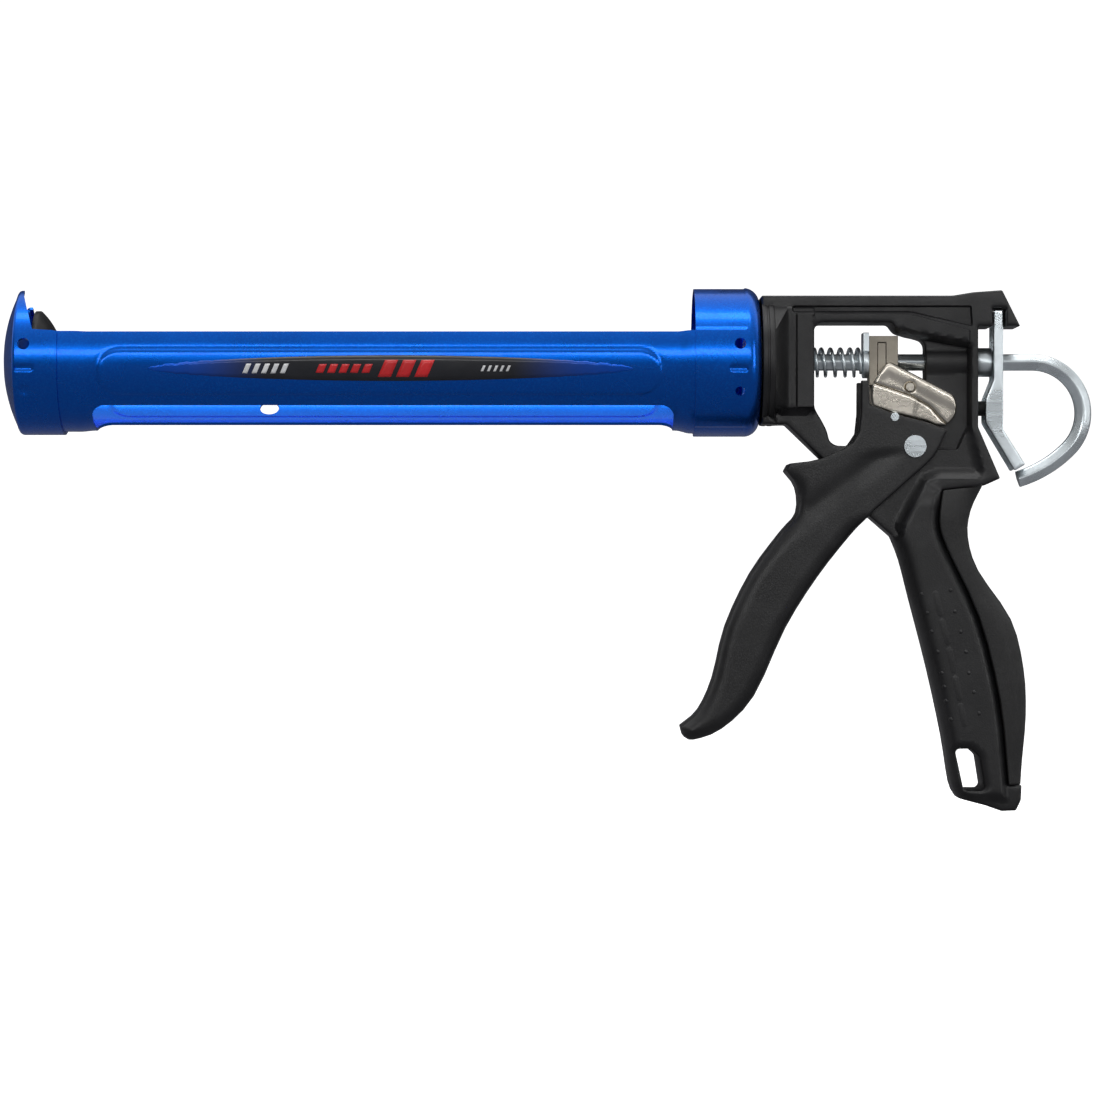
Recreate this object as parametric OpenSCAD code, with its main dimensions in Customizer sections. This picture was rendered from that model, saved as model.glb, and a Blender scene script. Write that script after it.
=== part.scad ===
// Caulking gun with a turning half-pipe cradle, hex push rod, trigger drive and release plate.
// Millimetres. X runs from the nose (-) to the hook (+), Z is up, Y is across the tool.
// The origin is on the rod's axis at the head's front flange, where the cradle turns.

/* [Cradle] */
// Distance from the head's flange to the front of the nose cap
cradle_length = 294.5; // [240:0.5:340]
// Outer radius of the half-pipe
barrel_r = 26.6; // [24:0.1:32]
// Thickness of the pressed sheet in the barrel, cap and collar
sheet = 1.2; // [0.9:0.1:1.6]
// Length of the rear collar's skirt
collar_length = 26; // [20:0.5:32]
// Length of the nose cap's skirt
cap_length = 16.4; // [12:0.2:20]
// Radius of the nose cap's dome
dome_r = 59.7; // [50:0.1:80]
// Half width of the notch that the cartridge's nozzle drops into
notch_half = 12; // [9:0.5:14]
// Angle from the bottom up to the top edge of each side strip
strip_top = 102; // [92:1:110]
// Angle from the bottom up to the lower edge of each side strip
slot_half = 37; // [30:1:45]
// How far the cradle is turned about the rod at rest
cradle_turn = 12; // [0:1:30]

/* [Rod] */
// Distance across the flats of the hex rod
rod_af = 6.35; // [5.3:0.05:7.9]
// Outer radius of the pusher plate
plate_r = 20; // [16:0.1:24]
// Wall of the pusher plate
plate_wall = 1.8; // [1.2:0.1:2.4]
// Distance from the back of the nose cap's dome to the pusher plate's back
plate_gap = 23; // [20:0.5:40]
// Centre line radius of the first bend of the hook
hook_r = 19.8; // [16:0.1:24]
// Centre line radius of the second, flatter bend of the hook
hook_tail_r = 47; // [38:0.5:56]

/* [Head] */
// Half width of the head's top beam and rear rim
head_half = 12; // [10:0.1:14.5]
// Half width of the head under the trigger's cheeks
core_half = 9.3; // [8.4:0.1:10.5]
// Half width of the central web that the rod passes through
web_half = 5.5; // [5.1:0.1:6]
// Outer radius of the tube that the cradle turns on
swivel_r = 8; // [6.6:0.1:9.6]

/* [Handle] */
// Half width of the grip at its fullest
grip_half = 14.5; // [12.5:0.1:17.5]
// Thickness of each trigger cheek
cheek = 2.7; // [2.2:0.1:3.3]
// Radius of the trigger's pivot rivet
pivot_r = 3; // [2.5:0.1:3.6]
// Half width of the trigger's handle
trigger_half = 12.5; // [11.5:0.1:14]

/* [Drive] */
// Wire diameter of the return spring
wire = 1.3; // [1:0.1:1.6]
// Number of turns of the return spring
turns = 5; // [4:1:7]
// Half width of the drive block
block_half = 5.6; // [5.4:0.1:5.7]
// Distance from the front to the back of the drive block
block_length = 11.2; // [9.4:0.1:11.2]
// Thickness of the gripping plate inside the drive block
grip_plate = 3; // [2.5:0.1:3.6]

/* [Release] */
// Sheet thickness of the release plate
release_sheet = 1.8; // [1.5:0.1:2.2]
// Half width of the release plate
release_half = 8; // [7.6:0.1:9.6]

/* [Hidden] */
$fn = 96;

run = 0.06; // radial running clearance of a shaft in its hole
rod_r = rod_af / 2 / cos(30); // corner radius of the hex rod
guide_r = rod_r + 0.08; // hole that guides the rod
cap_r = barrel_r + 1.7; // outer radius of the nose cap
collar_r = barrel_r + 2.4; // outer radius of the rear collar
flange_r = collar_r - 4.1; // front flange that the cradle turns against

// Trigger pivot, and the drive lever's pin
pivot = [59.3, -33];
pin_at = [57.7, -9.9];
key_at = [51.5, -21.6];

// Drive train along the rod
window_x = 20.3;
block_x = 53.35 - block_length;
seat_t = 2.3;
cavity_r = 34;

// Lengthways places of the cradle's parts
nose_x = -cradle_length;
dome_drop = dome_r - sqrt(dome_r * dome_r - cap_r * cap_r);
cap_front = nose_x + dome_drop;
cap_back = cap_front + cap_length;
collar_back = -0.6;
shell_front = cap_front + 1.4;
shoulder = 6; // radius of the collar's shoulder
shell_back = collar_back - shoulder - 0.1;
front_web = 12.5;
rear_web = 8.2;
slot_front = cap_back + front_web;
slot_back = -collar_length - rear_web;
plate_back = nose_x + plate_gap;

// A flat shape drawn in X and Z, given a half width across Y
module slab(points, half) {
    translate([0, half, 0]) rotate([90, 0, 0]) linear_extrude(2 * half) polygon(points);
}

// The same shape between two distances from the middle, on both sides
module cheeks(points, inner, outer) {
    for (side = [0, 1])
        mirror([0, side, 0])
            translate([0, outer, 0]) rotate([90, 0, 0]) linear_extrude(outer - inner) polygon(points);
}

// Round bar along X
module bar_x(r, x0, x1) {
    translate([x0, 0, 0]) rotate([0, 90, 0]) cylinder(r = r, h = x1 - x0);
}

// Round bar along Y, centred, at a point in X and Z
module bar_y(at, r, half) {
    translate([at[0], half, at[1]]) rotate([90, 0, 0]) cylinder(r = r, h = 2 * half);
}

// Turns the cradle's parts from upright to how they lie at rest
module cradle() {
    rotate([-cradle_turn, 0, 0]) children();
}

// Rectangle with round corners made of squares and circles
module round_rect(x0, x1, half, r) {
    translate([x0 + r, -half]) square([x1 - x0 - 2 * r, 2 * half]);
    translate([x0, -half + r]) square([x1 - x0, 2 * half - 2 * r]);
    for (x = [x0 + r, x1 - r], y = [-half + r, half - r]) translate([x, y]) circle(r = r);
}

// Points of a smooth curve through the given points
function cubic(a, b, c, d, t) = 0.5 * (2 * b + (c - a) * t + (2 * a - 5 * b + 4 * c - d) * t * t
    + (3 * b - a - 3 * c + d) * t * t * t);
function smooth(p, n = 4) = let (last = len(p) - 1) [
    for (i = [0 : last - 1], k = [0 : n - 1])
        cubic(p[max(i - 1, 0)], p[i], p[i + 1], p[min(i + 2, last)], k / n),
    p[last]
];

// Screw-shaped spring along X as one closed skin
function coil_ring(x0, pitch, r, w, turn, sides) = [
    for (k = [0 : sides - 1])
        let (a = 360 * k / sides, u = r + w * cos(a))
            [x0 + pitch * turn + w * sin(a), u * cos(360 * turn), u * sin(360 * turn)]
];
module coil(x0, x1, r, w, n, steps = 20, sides = 8) {
    rings = n * steps;
    pitch = (x1 - x0 - 2 * w) / n;
    points = [for (i = [0 : rings]) each coil_ring(x0 + w, pitch, r, w, i / steps, sides)];
    walls = [for (i = [0 : rings - 1], k = [0 : sides - 1])
        let (a = i * sides + k, b = i * sides + (k + 1) % sides) [a, b, b + sides, a + sides]];
    ends = [[for (k = [sides - 1 : -1 : 0]) k], [for (k = [0 : sides - 1]) rings * sides + k]];
    polyhedron(points = points, faces = concat(walls, ends), convexity = 6);
}

/* ---------- cradle ---------- */

cap_in = cap_r - sheet;
collar_in = collar_r - sheet;
fix_angle = 90;
dimple_angle = 53;

// Two round holes on each side, where the sheets are fixed together
module fixings(x, reach, hole_r) {
    for (side = [0, 1]) mirror([0, side, 0]) {
        rotate([-fix_angle, 0, 0]) translate([x, 0, -reach]) cylinder(r = hole_r, h = 6);
        rotate([-dimple_angle, 0, 0]) translate([x, 0, -reach]) cylinder(r = hole_r * 0.8, h = 6);
    }
}

module nose_cap() {
    color([0.02, 0.25, 0.72]) cradle() difference() {
        intersection() {
            translate([nose_x + dome_r, 0, 0]) sphere(r = dome_r);
            bar_x(cap_r, nose_x - 1, cap_back);
        }
        intersection() {
            translate([nose_x + dome_r, 0, 0]) sphere(r = dome_r - sheet);
            bar_x(cap_in, nose_x - 1, cap_back + 1);
        }
        // nozzle notch, open at the top
        bar_x(notch_half, nose_x - 1, cap_back + 1);
        translate([nose_x - 1, -notch_half, 0]) cube([cap_length + dome_drop + 2, 2 * notch_half, 60]);
        // the skirt stops at the strips' top edges and slopes up to the horns
        slab([[cap_front + 7, -barrel_r * cos(strip_top)], [cap_front + 2, cap_r * 0.8],
            [cap_front + 1, cap_r + 2], [cap_back + 2, cap_r + 2],
            [cap_back + 2, -barrel_r * cos(strip_top)]], cap_r + 2);
        fixings(cap_front + 3.8, cap_r + 2, 2.5);
    }
}

module panel(grow, depth) {
    // raised stadium on a side strip
    mid = (48 + 86) / 2;
    intersection() {
        difference() {
            bar_x(barrel_r + depth, slot_front, slot_back);
            bar_x(barrel_r - sheet - 0.01, slot_front - 1, slot_back + 1);
        }
        rotate([-mid, 0, 0]) translate([0, 0, -barrel_r - 4]) linear_extrude(12)
            round_rect(slot_front + 3 - grow, slot_back - 5 + grow, 8.7 + grow, 8.6 + grow);
    }
}

module barrel_shell() {
    wide_front = cap_in - 0.05;
    wide_back = collar_in - 0.05;
    outer = [[wide_front, shell_front], [wide_front, cap_back + 7], [barrel_r, cap_back + 11],
        [barrel_r, slot_back + 1], [wide_back, slot_back + 5], [wide_back, shell_back]];
    inner = [for (i = [len(outer) - 1 : -1 : 0]) [outer[i][0] - sheet, outer[i][1]]];
    color([0.02, 0.25, 0.72]) cradle() difference() {
        union() {
            half_turned(concat(outer, inner), strip_top);
            for (side = [0, 1]) mirror([0, side, 0]) panel(0, 0.5);
        }
        for (side = [0, 1]) mirror([0, side, 0]) intersection() {
            bar_x(barrel_r - sheet + 0.5, slot_front, slot_back);
            rotate([-67, 0, 0]) translate([0, 0, -barrel_r - 4]) linear_extrude(12)
                round_rect(slot_front + 4, slot_back - 6, 7.7, 7.6);
        }
        // long slot along the bottom
        translate([0, 0, -barrel_r - 2]) linear_extrude(barrel_r)
            round_rect(slot_front, slot_back, barrel_r * sin(slot_half), 5);
        // drain hole in the far strip
        rotate([61, 0, 0]) translate([nose_x + 101.8, 0, -barrel_r - 2]) cylinder(r = 3.7, h = 5);
    }
}

// Profile of radius against X turned to an equal angle each side of the bottom
module half_turned(points, angle) {
    rotate([0, 90, 0]) rotate([0, 0, -angle])
        rotate_extrude(angle = 2 * angle) polygon(points);
}

module rear_collar() {
    color([0.02, 0.25, 0.72]) cradle() difference() {
        rotate([0, 90, 0]) rotate_extrude() {
            difference() {
                cup_shape(collar_r, shoulder, -collar_length, collar_back);
                cup_shape(collar_in, shoulder - sheet, -collar_length - 1, collar_back - sheet);
                translate([-1, -collar_length - 1]) square([swivel_r + run + 1, collar_length + 5]);
            }
        }
        fixings(-9, collar_r + 2, 2.3);
    }
}

// Half section of a round cup that is closed at its back with a rounded shoulder
module cup_shape(r, bend, x0, x1) {
    translate([0, x0]) square([r, x1 - x0 - bend]);
    translate([0, x0]) square([r - bend, x1 - x0]);
    translate([r - bend, x1 - bend]) intersection() {
        circle(r = bend);
        square([bend + 1, bend + 1]);
    }
}

/* ---------- what the cradle turns on ---------- */

nut_t = 4;
washer_t = 0.5;
nut_front = collar_back - sheet - 0.3 - nut_t;

module swivel_tube() {
    color([0.62, 0.63, 0.65]) difference() {
        bar_x(swivel_r, nut_front - 0.6, window_x);
        bar_x(guide_r, nut_front - 2, window_x + 1);
    }
}

module swivel_nut() {
    color([0.6, 0.62, 0.64]) difference() {
        translate([nut_front, 0, 0]) rotate([0, 90, 0]) cylinder(r = swivel_r * 1.6, h = nut_t, $fn = 6);
        bar_x(swivel_r, nut_front - 1, nut_front + nut_t + 1);
    }
}

module swivel_washer() {
    color([0.55, 0.56, 0.58]) difference() {
        bar_x(flange_r - 6, -washer_t, 0);
        bar_x(swivel_r, -2, 1);
    }
}

/* ---------- head and grip ---------- */

// Back edge of the handle, from the head's rear corner down
grip_back = smooth([[86.2, -48.2], [81.5, -57.9], [80.4, -68], [84.4, -81], [97.1, -100], [102, -119],
    [102.9, -137], [101.4, -155], [100.4, -170]], 3);
// Front edge of the handle, from its foot up
grip_front = smooth([[76.4, -169.4], [73.6, -163.5], [70.6, -144.9], [65, -119], [58.1, -92.2],
    [54.2, -77], [50.6, -67.6]], 3);
// Line between the grip's sides and the palm pad, from the head down
pad_line = smooth([[70, -50], [68.6, -62], [71.4, -72.3], [83.9, -99.3], [92, -131.6], [95.4, -164]], 3);
foot = [[98.5, -174], [92.8, -174.2], [86.6, -172]];

head_line = [[0, 25.4], [74, 25.4], [81.9, 26.7], [93.2, 27.5], [100.2, 13.5], [94.7, 13.5],
    [94.7, 20.7], [89.6, 20.7], [89.6, 13.5], [83.9, 13.5], [83.9, -25.5], [92.4, -45.4]];
under_line = [[42.1, -60.2], [36, -53.4], [31.6, -47], [23.4, -37.6], [9.75, -24.4], [0, -24.4]];
core_line = concat(head_line, grip_back, foot, grip_front, under_line);

window_line = [[22.6, 15], [50.3, 15], [52.5, 11.5], [62.5, 8.3], [63.8, 6.3], [63.8, -22.5],
    [50, -26.2], [44, -29.6], [34, -32.8], [28.9, -32.6], [26.5, -31], [25.4, -26.7], [23.4, -22.8],
    [20.3, -17.7], [20.3, 12.7]];

// Where the trigger's cheeks sweep, so the casting is narrower
cheek_room = concat([[5, -20], [9, -27], [20, -38], [30, -50], [40, -62.5], [48, -70], [52.6, -67.4]],
    [[53.2, -61.6], [57.4, -53.4], [62.6, -45.2], [69, -43], [84, -43], [79.6, -26], [79.6, 5.6],
    [58, 9.7], [46, 12], [30, -20]]);
// Where the drive lever sweeps, so only the central web is left
lever_room = [[44, 8], [58, 9.7], [80.3, 5.6], [80.3, -25], [76, -34], [59, -34], [44, -30]];

// The grip's sides stand out further than its core
side_line = concat([[62.8, -45], [70, -50]], pad_line, [for (p = grip_front) p],
    [[53.4, -61.6], [57.6, -53.4]]);

module hang_slot() {
    // leaning hole through the foot of the handle
    slab([[75.9, -150], [81, -150], [84.6, -153.4], [86.4, -164.9], [85.2, -166.3], [79.2, -166.3],
        [77.9, -165.2], [74.9, -151.2]], 40);
}

module head_casting() {
    color([0.05, 0.05, 0.055]) difference() {
        union() {
            bar_x(flange_r, 0, 5);
            bar_x(17, 0, window_x);
            slab(core_line, head_half);
            // fuller sides of the grip
            intersection() {
                slab(side_line, grip_half);
                side_round();
            }
        }
        slab(window_line, 40);
        hang_slot();
        cheeks(cheek_room, core_half, 40);
        cheeks(lever_room, web_half, 40);
        for (side = [0, 1]) mirror([0, side, 0])
            translate([pivot[0], 40, pivot[1]]) rotate([90, 0, 0]) cylinder(r = 13, h = 40 - web_half);
        pad_room();
        bar_x(swivel_r, -1, window_x + 1);
        bar_x(guide_r + 0.3, 60, 90);
        bar_x(bush_r, bush_front, 90);
        bar_y(pivot, pivot_r, 40);
        translate([0, 0, stop_z]) bar_x(stop_r, stop_front, 90);
    }
}

// Leaning prism that rounds the corners of the grip's sides
module side_round() {
    lean = 13.5;
    translate([52, 0, -50]) rotate([0, -lean, 0]) translate([0, 0, -160]) linear_extrude(200)
        round_rect(-20, 60, grip_half, 4);
}

module pad_room() {
    slab(concat(pad_line, [[120, -164], [120, -60], [86.2, -48.2]]), 40);
}

module palm_pad() {
    color([0.06, 0.06, 0.065]) intersection() {
        slab(concat([for (i = [len(pad_line) - 1 : -1 : 0]) pad_line[i]], pad_back), grip_half);
        side_round();
    }
}

pad_back = smooth([[86.2, -48.2], [81.5, -57.9], [80.4, -68], [84.4, -81], [97.1, -100], [102, -119],
    [102.9, -137], [101.4, -155], [100.8, -164]], 3);

/* ---------- trigger pivot ---------- */

rivet_head_r = 4.25;
rivet_head_t = 1.1;
side_gap = 0.12;

module pivot_rivet() {
    color([0.72, 0.74, 0.76]) {
        bar_y(pivot, pivot_r, trigger_half + side_gap);
        translate([0, -trigger_half - side_gap - rivet_head_t / 2, 0])
            bar_y(pivot, rivet_head_r, rivet_head_t / 2);
    }
}

module pivot_cap() {
    color([0.72, 0.74, 0.76])
        translate([0, trigger_half + side_gap + rivet_head_t / 2, 0])
            bar_y(pivot, rivet_head_r, rivet_head_t / 2);
}

/* ---------- back of the head ---------- */

bush_r = 5;
bush_front = 76;
cup_r = 5.65;
cup_back = 90;
stop_r = 2.9;
stop_z = -18;
stop_front = 80;
stop_back = 89.4;

module rear_bush() {
    color([0.68, 0.73, 0.78]) difference() {
        union() {
            bar_x(bush_r, bush_front, 84);
            bar_x(cup_r, 83.9, cup_back);
        }
        bar_x(guide_r, bush_front - 1, cup_back + 1);
        bar_x(cup_r - 0.7, 85, cup_back + 1);
    }
}

module release_stop() {
    color([0.03, 0.03, 0.03]) translate([0, 0, stop_z]) bar_x(stop_r, stop_front, stop_back);
}

release_side = [[90.2, 20.1], [94, 20.1], [94, -26.3], [102.6, -39.9], [98.4, -42.4], [87.1, -23.6],
    [87.1, -14.6], [90.2, -6.8]];
release_web = [[94 - release_sheet, 20.1], [94, 20.1], [94, -26.3], [102.6, -39.9],
    [102.6 - release_sheet, -40.9], [94 - release_sheet, -26.8]];

module release_plate() {
    color([0.66, 0.72, 0.76]) difference() {
        union() {
            slab(release_web, release_half);
            cheeks(release_side, release_half - 1.5, release_half);
        }
        bar_x(rod_r + 0.7, 80, 110);
    }
}

module release_spring() {
    color([0.6, 0.62, 0.64]) coil(85.1, 94 - release_sheet - 0.15, rod_r + 0.68, 0.35, 4);
}

/* ---------- push rod ---------- */

rod_front = plate_back - 7;
thread_r = 3;
washer_x = 1.6;
first_bend = 135;
second_bend = 28;
rod_end = 106.1;

module hex(r) {
    rotate(90) circle(r = r, $fn = 6);
}

// Hexagonal bar along X from the origin
module hex_bar(r, length) {
    rotate([0, 90, 0]) linear_extrude(length) hex(r);
}

// Hexagonal bar that starts at the origin along X and bends down through an angle
module hex_bend(r, bend_r, angle) {
    translate([0, 0, -bend_r]) multmatrix([[0, 1, 0, 0], [0, 0, 1, 0], [1, 0, 0, 0]])
        rotate_extrude(angle = angle) translate([bend_r, 0]) hex(r);
}

module push_rod() {
    tail_r = rod_r - 0.02;
    lap = 0.3;
    color([0.7, 0.75, 0.79]) {
        bar_x(thread_r, rod_front, plate_back + washer_x);
        translate([plate_back + washer_x, 0, 0]) hex_bar(rod_r, rod_end - plate_back - washer_x);
        translate([rod_end, 0, 0]) hex_bend(rod_r, hook_r, first_bend);
        // flatter bend back towards the head, its start lapped into the first
        translate([rod_end, 0, -hook_r]) rotate([0, first_bend, 0]) translate([0, 0, hook_r]) {
            translate([-lap, 0, 0]) hex_bar(tail_r, lap);
            hex_bend(tail_r, hook_tail_r, second_bend);
        }
    }
}

plate_back_r = 27.7;

module pusher_plate() {
    color([0.04, 0.04, 0.04]) rotate([0, 90, 0]) rotate_extrude() difference() {
        intersection() {
            translate([0, plate_centre]) circle(r = plate_back_r);
            translate([thread_r, rim_x]) square([plate_r - thread_r, plate_back + 1 - rim_x]);
        }
        translate([0, plate_centre]) circle(r = plate_back_r - plate_wall);
    }
}

plate_centre = plate_back - plate_back_r;
rim_x = plate_centre + sqrt(pow(plate_back_r - plate_wall, 2) - pow(plate_r - 0.6, 2));

module pusher_nut() {
    color([0.66, 0.69, 0.71]) difference() {
        translate([plate_back - plate_wall - 4.7, 0, 0]) rotate([0, 90, 0])
            cylinder(r = 5.8, h = 3.9, $fn = 6);
        bar_x(thread_r, rod_front - 1, plate_back + 1);
    }
}

module pusher_washer() {
    color([0.62, 0.64, 0.66]) difference() {
        bar_x(9, plate_back, plate_back + washer_x);
        bar_x(thread_r, plate_back - 2, plate_back + washer_x + 1);
    }
}

/* ---------- trigger ---------- */

// Finger side of the trigger, from the upper lip to the tip
trigger_front = smooth([[9.4, -42.3], [13.7, -48.6], [14, -58.5], [8, -65.8], [-3.9, -82.1],
    [-13.7, -102.8], [-18.7, -123], [-24.4, -135.4], [-31.4, -141.6]], 3);
// Grip side of the trigger, from the tip up to the head
trigger_back = smooth([[-30.4, -145.3], [-26.4, -146.8], [-15.2, -142.5], [-2.7, -129.7],
    [9.4, -103.5], [21.8, -83.7], [34.7, -67.3], [41.7, -59.9]], 3);
cheek_back = smooth([[43.3, -57.9], [56.6, -46.2], [66.5, -37], [71.8, -26.7]], 3);
cheek_top = [[64.4, -23.8], [50.3, -20.1], [42, -16.8], [41.5, -7.5], [38.5, -7.5], [38.4, -20],
    [37.6, -27.6], [34.8, -31.8], [30.8, -34.5], [23.4, -37.6], [18.3, -38.8], [10.9, -39.6]];
trigger_line = concat(trigger_front, trigger_back, cheek_back, cheek_top);
channel_half = trigger_half - cheek;

module trigger() {
    color([0.05, 0.05, 0.055]) {
        difference() {
            slab(trigger_line, trigger_half);
            bar_y(pivot, cavity_r, channel_half);
            slab([[5, -15], [9.2, -25.1], [31, -47], [40, -47], [40, -15]], channel_half);
            slab([[34.2, -40], [34.2, -58], [43, -68.4], [70, -70], [70, -40]], channel_half);
            bar_y(pivot, pivot_r + run, 40);
            bar_y(key_at, 1.6, 40);
        }
        // web that joins the cheeks in front of the lever
        slab([[38.4, -20], [38.5, -7.5], [41.5, -7.5], [41.7, -17], [41, -20]], channel_half + 0.1);
    }
}

/* ---------- drive lever ---------- */

lever_in = block_half + 0.4;
lever_out = channel_half - 0.5;
lever_line = [[46, -9.2], [43.3, -8.4], [48, -1], [50.3, -0.2], [74.9, -13.1], [76, -17.4], [75.3, -21.3],
    [72.2, -24.6], [70.2, -22.8], [65.5, -17.4], [57.7, -13.1]];
stop_line = [[43.3, -8.4], [46, -9.2], [57.7, -13.1], [65.5, -17.4], [70.2, -22.8], [72.2, -24.6],
    [67.9, -24.8], [64.4, -23.2], [50.3, -19.7], [43.3, -17.4], [42.6, -14.2]];

module drive_lever() {
    color([0.74, 0.7, 0.62]) difference() {
        union() {
            cheeks(lever_line, lever_in, lever_out);
            // hidden web behind the drive block, which pushes it forwards
            slab([[53.75, -4.2], [57.2, -4.8], [59.4, -12.8], [54.6, -11.6]], lever_in + 0.1);
        }
        bar_y(pin_at, 1.6, 40);
    }
}

module lever_stop() {
    color([0.62, 0.58, 0.5]) difference() {
        union() {
            cheeks(stop_line, lever_in, lever_out - 0.6);
            // hidden web that joins the two sides under the drive block
            slab([[45, -11], [49, -12.5], [49, -18], [45, -16.5]], lever_in + 0.1);
            cheeks([[48.8, -19.4], [66, -23.8], [65, -33], [53.6, -33]], lever_in, lever_out - 0.6);
            for (side = [0, 1]) mirror([0, side, 0])
                translate([pivot[0], lever_out - 0.6, pivot[1]]) rotate([90, 0, 0])
                    cylinder(r = 7, h = lever_out - 0.6 - lever_in);
        }
        bar_y(pivot, pivot_r + run, 40);
        bar_y(key_at, 1.6, 40);
    }
}

module lever_pin() {
    color([0.5, 0.48, 0.42]) bar_y(pin_at, 1.6, lever_out + 0.3);
}

module coupling_pin() {
    color([0.86, 0.87, 0.88]) bar_y(key_at, 1.6, trigger_half + 0.5);
}

/* ---------- drive block and spring ---------- */

block_top = 10.1;
block_foot = -9;
plate_x = block_x + 3.2;

module drive_block() {
    color([0.42, 0.39, 0.34]) difference() {
        slab([[block_x, block_foot], [block_x, block_top], [block_x + block_length, block_top],
            [block_x + block_length, block_foot]], block_half);
        bar_x(guide_r, block_x - 1, block_x + block_length + 1);
        translate([plate_x, -block_half - 1, -7])
            cube([grip_plate + 0.4, 2 * block_half + 2, 14.6]);
    }
}

module gripping_plate() {
    color([0.3, 0.29, 0.27]) difference() {
        slab([[plate_x + 0.2, -6.8], [plate_x + 0.2, 7.4], [plate_x + 0.2 + grip_plate, 7.4],
            [plate_x + 0.2 + grip_plate, -6.8]], block_half - 0.2);
        bar_x(rod_r + 0.06, plate_x - 1, plate_x + grip_plate + 2);
    }
}

module spring_seat() {
    color([0.6, 0.63, 0.65]) difference() {
        union() {
            bar_x(6.2, block_x - seat_t, block_x);
            translate([block_x - seat_t, -block_half, 4]) cube([seat_t, 2 * block_half, 7.4]);
        }
        bar_x(guide_r, block_x - seat_t - 1, block_x + 1);
    }
}

module return_spring() {
    color([0.66, 0.7, 0.72])
        coil(window_x + 0.15, block_x - seat_t - 0.15, 5.3, wire / 2, turns);
}

nose_cap();
barrel_shell();
rear_collar();
swivel_tube();
swivel_nut();
swivel_washer();
head_casting();
palm_pad();
pivot_rivet();
pivot_cap();
rear_bush();
release_stop();
release_plate();
release_spring();
push_rod();
pusher_plate();
pusher_nut();
pusher_washer();
trigger();
drive_lever();
lever_stop();
lever_pin();
coupling_pin();
drive_block();
gripping_plate();
spring_seat();
return_spring();
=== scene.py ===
# %% [markdown]
# # A caulking gun, piece by piece
# This lesson dresses a caulking gun for a studio picture. The measured model comes in
# as the frame: bodies that move, and plain solids on them. We keep each solid whose shape
# is already right and give it a finish. Pressed sheet, castings, springs and the bent rod
# need softer shapes, so those are worked out here as surfaces and stand for the solids.

import math

import bpy
import numpy as np
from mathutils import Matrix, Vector
from mathutils.geometry import delaunay_2d_cdt


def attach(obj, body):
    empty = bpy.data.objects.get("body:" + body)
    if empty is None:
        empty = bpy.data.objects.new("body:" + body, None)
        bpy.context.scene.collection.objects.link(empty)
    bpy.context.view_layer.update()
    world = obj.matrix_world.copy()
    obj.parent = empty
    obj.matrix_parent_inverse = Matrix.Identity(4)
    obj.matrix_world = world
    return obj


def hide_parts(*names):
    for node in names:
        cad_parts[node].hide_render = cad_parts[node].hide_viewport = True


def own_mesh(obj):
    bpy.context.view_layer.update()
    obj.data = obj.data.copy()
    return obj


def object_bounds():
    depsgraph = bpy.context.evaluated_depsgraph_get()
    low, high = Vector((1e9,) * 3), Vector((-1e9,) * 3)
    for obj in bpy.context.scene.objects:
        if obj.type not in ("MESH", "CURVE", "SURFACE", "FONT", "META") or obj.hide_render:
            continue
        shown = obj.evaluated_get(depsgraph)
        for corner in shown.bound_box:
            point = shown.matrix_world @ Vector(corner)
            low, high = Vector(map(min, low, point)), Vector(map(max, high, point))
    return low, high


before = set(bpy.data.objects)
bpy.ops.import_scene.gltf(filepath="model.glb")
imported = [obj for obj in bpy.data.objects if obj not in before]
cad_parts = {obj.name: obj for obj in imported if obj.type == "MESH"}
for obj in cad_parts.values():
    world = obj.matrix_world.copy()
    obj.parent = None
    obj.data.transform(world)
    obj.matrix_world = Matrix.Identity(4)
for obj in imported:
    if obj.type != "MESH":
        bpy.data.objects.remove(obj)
cad_low, cad_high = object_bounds()
MM = 0.001
print("size in mm:", [round(v / MM, 1) for v in cad_high - cad_low])

# %% [markdown]
# ## Camera, floor and light
# The tool is seen square from its side, from about a metre and a half away. A long lens
# keeps the barrel parallel, as it would look on a shop's packshot. The floor is a pale
# sweep that stays well behind and below the tool, and large soft lamps give the lacquer
# and the plated parts long, quiet highlights.

# %% Camera
IMAGE = 1100
MM_PER_STEP = 0.39          # how much of the tool one step of the frame covers
DISTANCE = 1.5
CENTRE_X, CENTRE_Z = (550 - 760) * MM_PER_STEP * MM, (362.5 - 550) * MM_PER_STEP * MM
SENSOR = 36
lens_data = bpy.data.cameras.new("camera")
lens_data.sensor_width = SENSOR
lens_data.lens = SENSOR * DISTANCE / (IMAGE * MM_PER_STEP * MM)
lens_data.clip_start, lens_data.clip_end = 0.05, 20


def place_object(name, data, place=(0, 0, 0), turn=(0, 0, 0)):
    """Puts an object that shows the data into the scene."""
    made = bpy.data.objects.new(name, data)
    made.location, made.rotation_euler = place, turn
    bpy.context.collection.objects.link(made)
    return made


bpy.context.scene.camera = place_object("camera", lens_data, (CENTRE_X, -DISTANCE, CENTRE_Z),
                                        (math.radians(90), 0, 0))
print("lens in mm:", round(lens_data.lens, 1))

# %% Mesh helpers
def put_mesh(name, points, faces, sharp=35.0):
    """Makes an object from points in metres and faces. Edges steeper than sharp stay crisp."""
    mesh = bpy.data.meshes.new(name)
    mesh.from_pydata(np.asarray(points, float).tolist(), [], [list(map(int, f)) for f in faces])
    mesh.validate()
    mesh.shade_smooth()
    mesh.set_sharp_from_angle(angle=math.radians(sharp))
    return place_object(name, mesh)


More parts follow.
